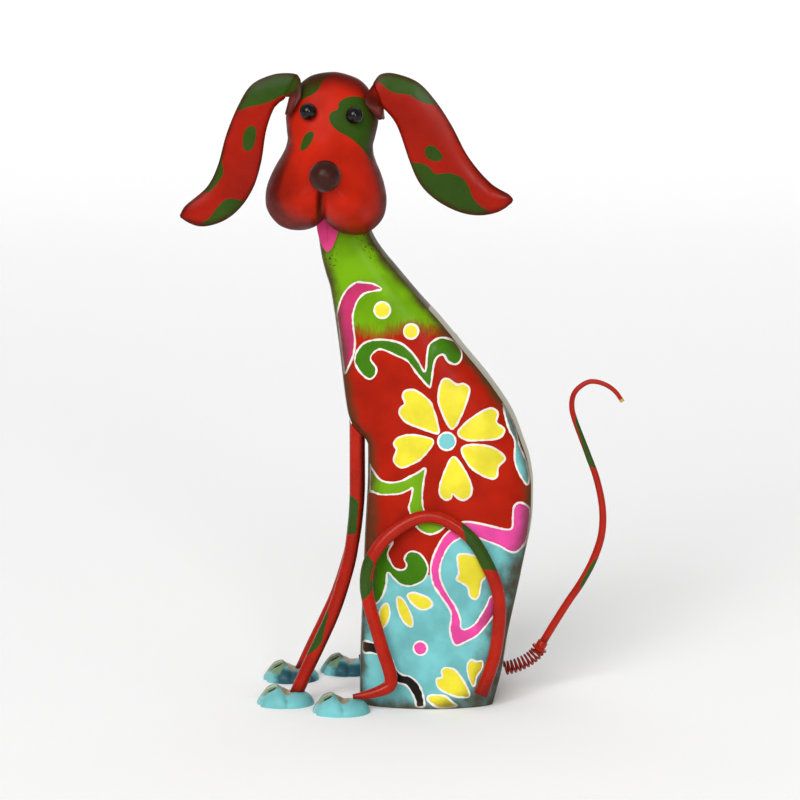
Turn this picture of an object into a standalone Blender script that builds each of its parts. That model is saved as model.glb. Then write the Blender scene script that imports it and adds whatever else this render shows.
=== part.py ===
"""Painted sheet-metal dog, sitting, with its head turned towards the near side.

X runs from the chest to the tail, -Y is the near side, Z is up, and the body and paws stand on
Z = 0. The origin is the middle of the body's underside. Sizes are in millimetres and become
metres where each mesh is made.
"""
import math

import bmesh
import bpy
from mathutils import Vector

MM = 0.001

# Body: a hollow seat-shaped shell, sealed below, between two bulged side panels
BODY_HEIGHT = 362.0
BODY_LENGTH = 116.0
BODY_DEPTH = 92.0
STRIP_DEPTH = 0.674 * BODY_DEPTH
STRIP_CROWN = 2.0

# Head: a pressed mask with a round back, rolled a little towards the chest side
HEAD_HEIGHT = 108.0
HEAD_ROLL = math.radians(4.5)
HEAD_SHIFT = -0.4078 * BODY_LENGTH
HEAD_LIFT = 0.06 * HEAD_HEIGHT
BACK_PLANE = -0.2283 * BODY_DEPTH
RIM_PLANE = BACK_PLANE - 7.0
FOREHEAD_RISE = 22.0
MUZZLE_RISE = 16.0
JOWL_RISE = 15.0
GROOVE_DEPTH = 8.0
NOSE_BOSS = 4.0
BACK_RISE = 50.0
NOSE_RADIUS = 10.5
NOSE_SEAT = 4.5
EYE_RADIUS = 5.7
EYE_SEAT = 2.8
EYE_SPREAD = 0.134 * HEAD_HEIGHT
EYE_HEIGHT = 0.354 * HEAD_HEIGHT

# Ears and tongue: cut sheet
EAR_SHEET = 1.2
EAR_CUP = 2.5
EAR_PLANE = RIM_PLANE - 4.0
TONGUE_SHEET = 1.0
TONGUE_LENGTH = 32.0
TONGUE_WIDTH = 16.0
TONGUE_TOP = -0.231 * HEAD_HEIGHT
TONGUE_SIDE = 0.021 * HEAD_HEIGHT

# Legs: bent tube
FRONT_TUBE = 9.3
HIND_TUBE = 9.0
HIND_PINCH = 3.2
FRONT_STANCE = 0.36 * BODY_DEPTH
HIND_STANCE = 0.59 * BODY_DEPTH

# Paws: pressed shells with three toes
PAW_LENGTH = 39.0
PAW_WIDTH = 31.0
PAW_RISE = 12.6
PAW_EDGE = 1.2

# Tail: coil spring, plug and tapered rod
SPRING_WIRE = 1.6
SPRING_OUTER = 10.0
SPRING_TURNS = 10
SPRING_HEIGHT = 0.048 * BODY_HEIGHT
PLUG_LENGTH = 3.0
FLANGE_DIAMETER = 11.0
FLANGE_THICKNESS = 1.6
SOCKET_DIAMETER = 7.2
SOCKET_LENGTH = 5.0
TAIL_ROOT = 5.4
TAIL_TIP = 3.0

# Touching meshes are kept this far apart
GAP = 0.3

# Body edges seen from the near side: share of the height, share of the length
CHEST_EDGE = (
    (0.0, -0.223), (0.066, -0.221), (0.15, -0.212), (0.304, -0.192), (0.45, -0.172),
    (0.486, -0.172), (0.506, -0.196), (0.526, -0.248), (0.542, -0.285), (0.572, -0.303),
    (0.674, -0.341), (0.787, -0.393), (0.815, -0.419), (0.845, -0.442), (0.9, -0.466),
    (1.0, -0.491),
)
SPINE_EDGE = (
    (0.0, 0.552), (0.061, 0.6), (0.127, 0.632), (0.254, 0.713), (0.37, 0.772),
    (0.414, 0.773), (0.461, 0.753), (0.497, 0.716), (0.547, 0.656), (0.608, 0.533),
    (0.67, 0.376), (0.728, 0.228), (0.773, 0.101), (0.831, -0.05), (0.85, -0.1),
    (0.878, -0.16), (0.9, -0.19), (0.94, -0.212), (1.0, -0.245),
)
# Half depths up the body: share of the height, share of the depth at the base
PANEL_BULGE = (
    (0.0, 1.0), (0.08, 0.99), (0.17, 0.955), (0.276, 0.88), (0.414, 0.76), (0.552, 0.64),
    (0.69, 0.53), (0.829, 0.435), (0.9, 0.4), (1.0, 0.37),
)
STRIP_TAPER = (
    (0.0, 1.0), (0.17, 0.935), (0.276, 0.855), (0.414, 0.71), (0.552, 0.58), (0.69, 0.485),
    (0.829, 0.4), (1.0, 0.355),
)
# Head outline: degrees from straight down, distance from the middle as a share of the height
HEAD_RIM = (
    (0, 0.352), (5, 0.398), (13, 0.444), (20, 0.472), (27, 0.494), (34, 0.505), (41, 0.5),
    (48, 0.487), (55, 0.459), (62, 0.424), (73, 0.366), (83, 0.324), (93, 0.294),
    (104, 0.281), (113, 0.288), (124, 0.333), (134, 0.398), (144, 0.451), (151, 0.489),
    (159, 0.526), (165, 0.542), (173, 0.55), (180, 0.555),
)
# Ear edges from the crease to the tip, sideways and up from the nose, in shares of head height
LEFT_EAR_OUTER = (
    (-0.197, 0.495), (-0.213, 0.552), (-0.268, 0.571), (-0.381, 0.555), (-0.504, 0.486),
    (-0.577, 0.356), (-0.639, 0.17), (-0.678, -0.029), (-0.736, -0.17), (-0.856, -0.293),
    (-0.894, -0.352),
)
LEFT_EAR_INNER = (
    (-0.262, 0.447), (-0.304, 0.42), (-0.347, 0.383), (-0.38, 0.328), (-0.408, 0.198),
    (-0.421, 0.007), (-0.458, -0.154), (-0.532, -0.285), (-0.632, -0.373), (-0.765, -0.414),
    (-0.889, -0.378),
)
RIGHT_EAR_OUTER = (
    (0.2, 0.485), (0.246, 0.563), (0.285, 0.613), (0.371, 0.622), (0.511, 0.581),
    (0.628, 0.476), (0.74, 0.331), (0.854, 0.15), (1.003, -0.003), (1.136, -0.07), (1.15, -0.09),
)
RIGHT_EAR_INNER = (
    (0.303, 0.424), (0.344, 0.391), (0.394, 0.336), (0.437, 0.258), (0.504, 0.091),
    (0.576, -0.04), (0.676, -0.128), (0.81, -0.189), (0.938, -0.206), (1.06, -0.178),
    (1.149, -0.116),
)
# Root tabs over the sides of the head: outer and inner edge, from the crease down
LEFT_TAB = (((-0.195, 0.44), (-0.248, 0.33)), ((-0.258, 0.447), (-0.278, 0.325)))
RIGHT_TAB = (((0.2, 0.437), (0.29, 0.338)), ((0.302, 0.415), (0.323, 0.343)))
# Leg centre lines: share of the body's length, share of its height
FRONT_LEG = (
    (-0.253, 0.48), (-0.253, 0.435), (-0.254, 0.389), (-0.264, 0.342), (-0.29, 0.281),
    (-0.338, 0.223), (-0.392, 0.172), (-0.464, 0.12), (-0.536, 0.071), (-0.582, 0.038),
)
HIND_LEG = (
    (0.487, 0.028), (0.541, 0.075), (0.574, 0.114), (0.594, 0.176), (0.583, 0.225),
    (0.525, 0.275), (0.431, 0.326), (0.287, 0.361), (0.156, 0.3685), (0.028, 0.353),
    (-0.09, 0.322), (-0.167, 0.283), (-0.187, 0.243), (-0.169, 0.204), (-0.13, 0.16),
    (-0.085, 0.112), (-0.058, 0.086), (-0.041, 0.0645), (-0.049, 0.0505), (-0.09, 0.0425),
    (-0.145, 0.0365), (-0.2, 0.0325),
)
HIND_FOOT_REACH = -0.264
# Tail centre line: along and up from the rod's root, in shares of the tail's height
TAIL_HEIGHT = 183.0
TAIL_LINE = (
    (0.0, 0.0), (0.043, 0.074), (0.093, 0.156), (0.14, 0.228), (0.185, 0.316), (0.215, 0.412),
    (0.218, 0.513), (0.196, 0.624), (0.159, 0.727), (0.111, 0.853), (0.099, 0.906),
    (0.106, 0.951), (0.133, 0.983), (0.172, 1.0), (0.22, 0.99), (0.259, 0.964), (0.289, 0.924),
)
TAIL_ROOT_AT = (0.8595 * BODY_LENGTH, 0.102 * BODY_HEIGHT)
FRONT_PAW_AT = -0.6716 * BODY_LENGTH
HIND_PAW_AT = -0.3336 * BODY_LENGTH
# Crown of a paw's middle from heel to toes: share of half the length, share of the rise
PAW_PROFILE = (
    (-1.0, 0.54), (-0.75, 0.62), (-0.4, 0.62), (-0.12, 0.56), (0.1, 0.72), (0.34, 1.0),
    (0.6, 0.93), (0.85, 0.62), (1.0, 0.4),
)


def clear_scene():
    for old in list(bpy.data.objects):
        bpy.data.objects.remove(old, do_unlink=True)


def paint(name, colour, roughness, metallic=0.0):
    """One Principled material with a linear colour."""
    material = bpy.data.materials.new(name)
    material.use_nodes = True
    shader = material.node_tree.nodes["Principled BSDF"]
    shader.inputs["Base Color"].default_value = (*colour, 1.0)
    shader.inputs["Roughness"].default_value = roughness
    shader.inputs["Metallic"].default_value = metallic
    return material


def add_piece(name, points, faces, material, crease=35.0):
    """One closed body from points in millimetres, with its faces turned outwards."""
    mesh = bpy.data.meshes.new(name)
    origin = Vector(((chest_x(0) + spine_x(0)) / 2, 0, 0))
    mesh.from_pydata([(Vector(p) - origin) * MM for p in points], [], faces)
    mesh.update()
    shape = bmesh.new()
    shape.from_mesh(mesh)
    bmesh.ops.recalc_face_normals(shape, faces=shape.faces)
    shape.to_mesh(mesh)
    shape.free()
    mesh.shade_smooth()
    mesh.set_sharp_from_angle(angle=math.radians(crease))
    mesh.materials.append(material)
    piece = bpy.data.objects.new(name, mesh)
    bpy.context.scene.collection.objects.link(piece)
    return piece


def follow(stations, at):
    """Value at a place along (place, value) stations, smooth and without overshoot."""
    places = [s[0] for s in stations]
    values = [s[1] for s in stations]
    if at <= places[0]:
        return values[0]
    if at >= places[-1]:
        return values[-1]
    rises = [(values[i + 1] - values[i]) / (places[i + 1] - places[i]) for i in range(len(places) - 1)]
    slopes = [rises[0]]
    for before, after in zip(rises, rises[1:]):
        slopes.append(0.0 if before * after <= 0 else 2 * before * after / (before + after))
    slopes.append(rises[-1])
    i = max(k for k in range(len(rises)) if places[k] <= at)
    span = places[i + 1] - places[i]
    t = (at - places[i]) / span
    ease = t * t * (3 - 2 * t)
    return (values[i] * (1 - ease) + values[i + 1] * ease
            + span * slopes[i] * t * (1 - t) ** 2 - span * slopes[i + 1] * t * t * (1 - t))


def smooth_line(points, count):
    """Evenly spaced points on a smooth curve through the given points."""
    knots = [Vector(p) for p in points]
    ends = [2 * knots[0] - knots[1]] + knots + [2 * knots[-1] - knots[-2]]
    fine = []
    steps = 12
    for i in range(1, len(ends) - 2):
        a, b, c, d = ends[i - 1:i + 3]
        for k in range(steps):
            t = k / steps
            fine.append(0.5 * (2 * b + (c - a) * t + (2 * a - 5 * b + 4 * c - d) * t * t
                               + (3 * b - a - 3 * c + d) * t ** 3))
    fine.append(knots[-1])
    run = [0.0]
    for p, q in zip(fine, fine[1:]):
        run.append(run[-1] + (q - p).length)
    line = []
    i = 0
    for k in range(count):
        goal = run[-1] * k / (count - 1)
        while i < len(run) - 2 and run[i + 1] < goal:
            i += 1
        line.append(fine[i].lerp(fine[i + 1], (goal - run[i]) / max(run[i + 1] - run[i], 1e-9)))
    return line


def tube_points(line, radii, sides):
    """Rings of a round tube; radii holds one (across, upright) pair for each point."""
    rings = []
    side = Vector((0.1, 1, 0))
    for i, centre in enumerate(line):
        ahead = (line[min(i + 1, len(line) - 1)] - line[max(i - 1, 0)]).normalized()
        side = (side - ahead * side.dot(ahead)).normalized()
        up = ahead.cross(side)
        across, upright = radii[i]
        turn = [2 * math.pi * k / sides for k in range(sides)]
        rings.append([centre + side * across * math.cos(a) + up * upright * math.sin(a) for a in turn])
    return rings


def loft_faces(rings, sides):
    """Quads between closed rings of equal size, with a flat cap on each end."""
    faces = []
    for r in range(rings - 1):
        for k in range(sides):
            n = (k + 1) % sides
            faces.append((r * sides + k, r * sides + n, (r + 1) * sides + n, (r + 1) * sides + k))
    last = (rings - 1) * sides
    faces.append(tuple(range(sides - 1, -1, -1)))
    faces.append(tuple(range(last, last + sides)))
    return faces


def add_loft(name, rings, material, crease=35.0):
    points = [p for ring in rings for p in ring]
    return add_piece(name, points, loft_faces(len(rings), len(rings[0])), material, crease)


def add_sheet(name, grid, thickness, material):
    """A closed plate of even thickness whose rear face is the given grid of points."""
    rows = len(grid)
    columns = len(grid[0])
    front = []
    for r in range(rows):
        for c in range(columns):
            along = grid[min(r + 1, rows - 1)][c] - grid[max(r - 1, 0)][c]
            across = grid[r][min(c + 1, columns - 1)] - grid[r][max(c - 1, 0)]
            normal = along.cross(across).normalized()
            if normal.y > 0:
                normal = -normal
            front.append(grid[r][c] + normal * thickness)
    points = [p for row in grid for p in row] + front
    lift = rows * columns
    faces = []
    for r in range(rows - 1):
        for c in range(columns - 1):
            a = r * columns + c
            quad = (a, a + 1, a + columns + 1, a + columns)
            faces.append(quad)
            faces.append(tuple(i + lift for i in reversed(quad)))
    rim = list(range(columns))
    rim += [r * columns + columns - 1 for r in range(1, rows)]
    rim += [(rows - 1) * columns + c for c in range(columns - 2, -1, -1)]
    rim += [r * columns for r in range(rows - 2, 0, -1)]
    for a, b in zip(rim, rim[1:] + rim[:1]):
        faces.append((b, a, a + lift, b + lift))
    return add_piece(name, points, faces, material)


def chest_x(z):
    return follow(CHEST_EDGE, z / BODY_HEIGHT) * BODY_LENGTH


def spine_x(z):
    return follow(SPINE_EDGE, z / BODY_HEIGHT) * BODY_LENGTH


def panel_half(z):
    return follow(PANEL_BULGE, z / BODY_HEIGHT) * BODY_DEPTH / 2


def strip_half(z):
    return follow(STRIP_TAPER, z / BODY_HEIGHT) * STRIP_DEPTH / 2


def bulge(share):
    """Bow of a side panel from its front edge, 0, to its rear edge, 1."""
    return (1 - (2 * min(max(share, 0.0), 1.0) - 1) ** 2) ** 0.6


def side_depth(x, z):
    """Half depth of the body where its side panel passes over x at height z."""
    share = (x - chest_x(z)) / (spine_x(z) - chest_x(z))
    return strip_half(z) + (panel_half(z) - strip_half(z)) * bulge(share)


def body_ring(z, panel_steps=11, strip_steps=5):
    """Level section of the body: near panel, spine strip, far panel, chest strip."""
    low, high, edge = chest_x(z), spine_x(z), strip_half(z)
    ring = []
    for k in range(panel_steps):
        share = 0.5 - 0.5 * math.cos(math.pi * k / panel_steps)
        x = low + (high - low) * share
        ring.append(Vector((x, -side_depth(x, z), z)))
    for k in range(strip_steps):
        y = -edge + 2 * edge * k / strip_steps
        ring.append(Vector((high + STRIP_CROWN * (1 - (y / edge) ** 2), y, z)))
    for k in range(panel_steps):
        share = 0.5 + 0.5 * math.cos(math.pi * k / panel_steps)
        x = low + (high - low) * share
        ring.append(Vector((x, side_depth(x, z), z)))
    for k in range(strip_steps):
        y = edge - 2 * edge * k / strip_steps
        ring.append(Vector((low - STRIP_CROWN * (1 - (y / edge) ** 2), y, z)))
    return ring


def make_body(material):
    shoulder = (0.47, 0.486, 0.498, 0.51, 0.52, 0.53, 0.542, 0.556)
    even = [k / 18 for k in range(19)]
    levels = sorted(shoulder + tuple(s for s in even if min(abs(s - m) for m in shoulder) > 0.02))
    rings = [body_ring(share * BODY_HEIGHT) for share in levels]
    return add_loft("body", rings, material)


def head_scale():
    return HEAD_HEIGHT / 108.0


def nose_height():
    """Height of the nose: the cranium's underside rests on top of the neck."""
    return BODY_HEIGHT + HEAD_LIFT


def head_point(side, up, y):
    """World point from head coordinates, measured from the nose and rolled."""
    cos, sin = math.cos(HEAD_ROLL), math.sin(HEAD_ROLL)
    return Vector((HEAD_SHIFT + side * cos + up * sin, y, nose_height() - side * sin + up * cos))


def head_polar(side, up):
    """Distance from the head's middle as a share of the way to its outline, and the angle."""
    middle = 5.0 * head_scale()
    angle = math.atan2(abs(side), -(up - middle))
    rim = follow(HEAD_RIM, math.degrees(angle)) * HEAD_HEIGHT
    return math.hypot(side, up - middle) / rim


def bell(value, middle, width):
    return math.exp(-((value - middle) / width) ** 2)


def head_rise(side, up, grow=1.0):
    """How far the face stands in front of the plane of its outline."""
    k = head_scale()
    share = min(head_polar(side, up) / grow, 1.0)
    s, t = side / k, up / k
    bridge = bell(t, -4, 26 if t > -4 else 30) * bell(s, 0, 22)
    jowls = bell(abs(s), 20, 17) * bell(t, -22, 17)
    groove = bell(s, 0, 3.5) / (1 + math.exp((t + 12) / 2))
    boss = bell(math.hypot(s, t - 1), 0, 10)
    rise = (FOREHEAD_RISE + MUZZLE_RISE * bridge + JOWL_RISE * jowls - GROOVE_DEPTH * groove
            + NOSE_BOSS * boss)
    return rise * (1 - share ** 3) ** 0.5


def make_head(material):
    turns = 48
    front_shares = (1.0, 0.985, 0.94, 0.86, 0.75, 0.62, 0.48, 0.32, 0.15)
    back_shares = (0.97, 0.85, 0.65, 0.35)
    middle = 5.0 * head_scale()
    points, rings = [], []

    def ring(share, back):
        start = len(points)
        for k in range(turns):
            angle = 2 * math.pi * k / turns
            bend = math.degrees(angle if angle <= math.pi else 2 * math.pi - angle)
            reach = follow(HEAD_RIM, bend) * HEAD_HEIGHT * share
            side, up = reach * math.sin(angle), middle - reach * math.cos(angle)
            if back:
                y = RIM_PLANE + BACK_RISE * (1 - share ** 2.6) ** 0.5
            else:
                y = RIM_PLANE - head_rise(side, up)
            points.append(head_point(side, up, y))
        return list(range(start, start + turns))

    for share in reversed(back_shares):
        rings.append(ring(share, True))
    for share in front_shares:
        rings.append(ring(share, False))
    back_pole = len(points)
    points.append(head_point(0, middle, RIM_PLANE + BACK_RISE))
    front_pole = len(points)
    points.append(head_point(0, middle, RIM_PLANE - head_rise(0, middle)))
    faces = []
    for a, b in zip(rings, rings[1:]):
        faces += [(a[k], a[(k + 1) % turns], b[(k + 1) % turns], b[k]) for k in range(turns)]
    first, last = rings[0], rings[-1]
    faces += [(back_pole, first[(k + 1) % turns], first[k]) for k in range(turns)]
    faces += [(front_pole, last[k], last[(k + 1) % turns]) for k in range(turns)]
    head = add_piece("head", points, faces, material)
    cut_seat(head)
    return head


def cut_seat(head):
    """Cut the flat back of the muzzle and the ledge under the cranium, where the neck goes."""
    low = Vector((-HEAD_HEIGHT * 2, BACK_PLANE, 0))
    high = Vector((HEAD_HEIGHT * 2, HEAD_HEIGHT, BODY_HEIGHT + GAP))
    corners = [Vector((x, y, z)) for z in (low.z, high.z) for y in (low.y, high.y) for x in (low.x, high.x)]
    faces = [(0, 2, 3, 1), (4, 5, 7, 6), (0, 1, 5, 4), (2, 6, 7, 3), (0, 4, 6, 2), (1, 3, 7, 5)]
    cutter = add_piece("neck_seat_cutter", corners, faces, head.data.materials[0])
    cutter.hide_render = True
    cutter.display_type = "WIRE"
    cut = head.modifiers.new("neck seat", "BOOLEAN")
    cut.operation = "DIFFERENCE"
    cut.object = cutter


def seated_ball(name, centre, radius, normal, seat, material, turns=14, steps=7):
    """A ball cut flat where it sits; seat is the distance from its centre to the flat."""
    side = normal.orthogonal().normalized()
    up = normal.cross(side)
    low = math.acos(-seat / radius)
    rings = []
    for i in range(steps):
        a = low * (1 - i / steps)
        across = radius * math.sin(a)
        spot = centre + normal * radius * math.cos(a)
        turn = [2 * math.pi * k / turns for k in range(turns)]
        rings.append([spot + (side * math.cos(b) + up * math.sin(b)) * across for b in turn])
    points = [p for ring in rings for p in ring] + [centre + normal * radius]
    faces = loft_faces(steps, turns)[:-1]
    last = (steps - 1) * turns
    faces += [(last + k, last + (k + 1) % turns, steps * turns) for k in range(turns)]
    return add_piece(name, points, faces, material)


def face_normal(side, up):
    """Outward direction of the face at head coordinates."""
    step = 1.0
    here = head_point(side, up, RIM_PLANE - head_rise(side, up))
    right = head_point(side + step, up, RIM_PLANE - head_rise(side + step, up))
    above = head_point(side, up + step, RIM_PLANE - head_rise(side, up + step))
    return here, (above - here).cross(right - here).normalized() * -1


def make_nose(material):
    reach = math.sqrt(NOSE_RADIUS ** 2 - NOSE_SEAT ** 2)
    turn = [2 * math.pi * k / 24 for k in range(24)]
    spots = [(r * math.cos(a), r * math.sin(a)) for a in turn for r in (0.0, reach / 2, reach)]
    front = RIM_PLANE - max(head_rise(side, up) for side, up in spots)
    normal = Vector((0, -1, 0))
    centre = head_point(0, 0, front - GAP - NOSE_SEAT)
    return seated_ball("nose", centre, NOSE_RADIUS, normal, NOSE_SEAT, material)


def make_eye(name, sign, material):
    here, normal = face_normal(sign * EYE_SPREAD, EYE_HEIGHT)
    if normal.y > 0:
        normal = -normal
    centre = here + normal * (EYE_SEAT + GAP + 0.1)
    return seated_ball(name, centre, EYE_RADIUS, normal, EYE_SEAT, material, turns=12, steps=6)


def ear_depth(side, up):
    """Rear face of an ear: on its own plane, or clear of the face where it lies over it."""
    clear = RIM_PLANE - head_rise(side, up, grow=1.1) - 4 * GAP
    return min(EAR_PLANE, clear)


def make_ear(name, outer, inner, tab, material):
    """A strip of sheet from the root tab over the crease to the tip."""
    rows, tab_rows, columns = 18, 2, 5
    height = HEAD_HEIGHT
    top = smooth_line([(s * height, u * height, 0) for s, u in outer], rows)
    low = smooth_line([(s * height, u * height, 0) for s, u in inner], rows)
    outer_tab, inner_tab = tab
    ribs = []
    for k in range(tab_rows):
        share = k / (tab_rows - 1)
        a = Vector((*inner_tab[1], 0)).lerp(Vector((*inner_tab[0], 0)), share) * height
        b = Vector((*outer_tab[1], 0)).lerp(Vector((*outer_tab[0], 0)), share) * height
        ribs.append((b, a))
    ribs += list(zip(top, low))
    grid = []
    for b, a in ribs:
        row = []
        for c in range(columns):
            share = c / (columns - 1)
            spot = b.lerp(a, share)
            cup = EAR_CUP * (1 - (2 * share - 1) ** 2)
            row.append(head_point(spot.x, spot.y, ear_depth(spot.x, spot.y) - cup))
        grid.append(row)
    return add_sheet(name, grid, EAR_SHEET, material)


def make_tongue(material):
    """A leaf that hangs from behind the muzzle, in front of the neck."""
    rows, columns = 8, 5
    grid = []
    for r in range(rows):
        share = r / (rows - 1)
        half = TONGUE_WIDTH / 2 * (1 - share ** 2.6) ** 0.7 + 0.4
        curl = TONGUE_LENGTH * 0.28 * max(0.0, share - 0.74) ** 1.3
        row = []
        for c in range(columns):
            across = -half + 2 * half * c / (columns - 1)
            crease = 0.3 * bell(across, 0, 2.0) * share
            side, up = TONGUE_SIDE * (0.6 + 0.8 * share) + across, TONGUE_TOP - TONGUE_LENGTH * share
            row.append(head_point(side, up, BACK_PLANE + GAP + TONGUE_SHEET - curl + crease))
        grid.append(row)
    return add_sheet("tongue", grid, TONGUE_SHEET, material)


def toe_gap(bend):
    """1 in the slot beside the middle toe, 0 on a toe."""
    return bell(bend, 19, 5)


def heel_crease(bend):
    """1 in the crease between the side toe and the heel."""
    return bell(bend, 96, 8)


def paw_outline(angle):
    """Distance to the paw's edge; angle 0 points along the toes."""
    bend = abs(math.degrees(math.atan2(math.sin(angle), math.cos(angle))))
    oval = 1 / math.hypot(math.cos(angle) / (PAW_LENGTH / 2), math.sin(angle) / (PAW_WIDTH / 2))
    return oval * (1 - 0.17 * toe_gap(bend) + 0.05 * bell(bend, 38, 13) - 0.05 * heel_crease(bend))


def paw_height(along, across):
    """Height of the paw's top above the ground; along runs from the middle to the toes."""
    angle = math.atan2(across, along)
    share = min(math.hypot(along, across) / paw_outline(angle), 1.0)
    bend = abs(math.degrees(angle))
    slot = 0.5 * toe_gap(bend) * min(max((share - 0.2) / 0.3, 0.0), 1.0)
    slot += 0.16 * heel_crease(bend) * min(max((share - 0.5) / 0.3, 0.0), 1.0)
    crown = follow(PAW_PROFILE, along / (PAW_LENGTH / 2)) * PAW_RISE
    side = 1 - 0.24 * (2 * across / PAW_WIDTH) ** 2
    return PAW_EDGE + crown * side * (1 - share ** 4) ** 0.55 * (1 - slot)


def make_paw(name, at, stance, material):
    turns = 32
    shares = (0.985, 0.92, 0.77, 0.54, 0.27)
    rings = []
    for share in (None, 1.0) + shares:
        ring = []
        for k in range(turns):
            angle = 2 * math.pi * k / turns
            reach = paw_outline(angle) * (share or 1.0)
            along, across = reach * math.cos(angle), reach * math.sin(angle)
            height = 0.0 if share is None else paw_height(along, across)
            ring.append(Vector((at - along, stance + across, height)))
        rings.append(ring)
    points = [p for ring in rings for p in ring] + [Vector((at, stance, paw_height(0, 0)))]
    faces = loft_faces(len(rings), turns)[:-1]
    last = (len(rings) - 1) * turns
    faces += [(last + k, last + (k + 1) % turns, len(rings) * turns) for k in range(turns)]
    return add_piece(name, points, faces, material)


def paw_top(x, y, at, stance):
    return paw_height(at - x, y - stance)


def make_front_leg(name, sign, material):
    """A tube from under the shoulder down to the front paw."""
    radius = FRONT_TUBE / 2
    path = []
    for along, up in FRONT_LEG:
        lower = 1 - up / FRONT_LEG[0][1]
        start = strip_half(FRONT_LEG[0][1] * BODY_HEIGHT) - 0.35 * radius
        y = start + (FRONT_STANCE - start) * lower ** 1.15
        path.append((along * BODY_LENGTH, sign * y, up * BODY_HEIGHT))
    line = smooth_line(path, 17)
    rings = tube_points(line, [(radius, radius)] * len(line), 10)
    for p in rings[0]:
        p.z = shoulder_height(p.x, p.y) - 4 * GAP
    ahead = (line[-1] - line[-2]).normalized()
    for p in rings[-1]:
        for _ in range(8):
            above = p.z - paw_top(p.x, p.y, FRONT_PAW_AT, sign * FRONT_STANCE) - 2 * GAP
            p += ahead * (above / -ahead.z)
    return add_loft(name, rings, material)


def shoulder_height(x, y):
    """Height of the underside of the chest's shoulder over x, where the leg's end rests."""
    low, high = 0.47 * BODY_HEIGHT, 0.556 * BODY_HEIGHT
    for _ in range(40):
        z = (low + high) / 2
        crown = STRIP_CROWN * max(0.0, 1 - (y / strip_half(z)) ** 2)
        if chest_x(z) - crown > x:
            low = z
        else:
            high = z
    return low


def make_hind_leg(name, sign, material):
    """A tube arched over the haunch, from the rear of the body to the hind paw."""
    radius = HIND_TUBE / 2
    peak = max(range(len(HIND_LEG)), key=lambda i: HIND_LEG[i][1])
    path = []
    for i, (along, up) in enumerate(HIND_LEG):
        x, z = along * BODY_LENGTH, up * BODY_HEIGHT
        hug = side_depth(x, z) + radius + 2 * GAP
        past = max(0, i - peak) / (len(HIND_LEG) - 1 - peak)
        away = 1 - (1 - past) ** 1.6
        y = max(hug, (1 - away) * (side_depth(path_x(peak), path_z(peak)) + radius) + away * HIND_STANCE)
        path.append((x, sign * y, z))
    x = HIND_FOOT_REACH * BODY_LENGTH
    rest = paw_top(x, sign * HIND_STANCE, HIND_PAW_AT, sign * HIND_STANCE)
    path.append((x, sign * HIND_STANCE, rest + HIND_PINCH / 2 + 2 * GAP))
    line = smooth_line(path, 48)
    pinched = 4
    radii = [(radius, radius)] * (len(line) - pinched)
    for k in range(pinched):
        share = ((k + 1) / pinched) ** 1.5
        radii.append((radius * (1 + 0.1 * share), radius + (HIND_PINCH / 2 - radius) * share))
    for p, (_, upright) in zip(line[-pinched:], radii[-pinched:]):
        ground = paw_top(p.x, p.y, HIND_PAW_AT, sign * HIND_STANCE)
        p.z = max(p.z, ground + upright + 2 * GAP)
    rings = tube_points(line, radii, 9)
    return add_loft(name, rings, material)


def path_x(index):
    return HIND_LEG[index][0] * BODY_LENGTH


def path_z(index):
    return HIND_LEG[index][1] * BODY_HEIGHT


def tail_line(count):
    x, z = TAIL_ROOT_AT
    return smooth_line([(x + a * TAIL_HEIGHT, 0, z + u * TAIL_HEIGHT) for a, u in TAIL_LINE], count)


def tail_frame():
    """Root of the rod and the direction in which it leaves the ferrule."""
    line = tail_line(60)
    return line[0], (line[1] - line[0]).normalized()


def make_tail(material):
    count = 35
    line = tail_line(count)
    start, ahead = tail_frame()
    line[0] = start + ahead * GAP
    radii = []
    for k in range(count):
        radius = (TAIL_ROOT + (TAIL_TIP - TAIL_ROOT) * max(0.0, k / (count - 1) - 0.3) / 0.7) / 2
        radii.append((radius, radius))
    return add_loft("tail_rod", tube_points(line, radii, 8), material)


def make_ferrule(material):
    """Turned plug: a stub inside the spring, a flange, and a socket under the rod."""
    start, ahead = tail_frame()
    stub = (SPRING_OUTER - 2 * SPRING_WIRE) / 2 - 2 * GAP
    profile = (
        (-SOCKET_LENGTH - FLANGE_THICKNESS - PLUG_LENGTH, stub * 0.8),
        (-SOCKET_LENGTH - FLANGE_THICKNESS - PLUG_LENGTH + 0.6, stub),
        (-SOCKET_LENGTH - FLANGE_THICKNESS, stub),
        (-SOCKET_LENGTH - FLANGE_THICKNESS, FLANGE_DIAMETER / 2),
        (-SOCKET_LENGTH, FLANGE_DIAMETER / 2),
        (-SOCKET_LENGTH, SOCKET_DIAMETER / 2),
        (-0.8, SOCKET_DIAMETER / 2),
        (0.0, SOCKET_DIAMETER / 2 - 0.8),
    )
    side = Vector((0, 1, 0))
    up = ahead.cross(side)
    turn = [2 * math.pi * k / 12 for k in range(12)]
    rings = []
    for along, radius in profile:
        spot = start + ahead * along
        rings.append([spot + side * radius * math.cos(a) + up * radius * math.sin(a) for a in turn])
    return add_loft("tail_ferrule", rings, material)


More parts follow.
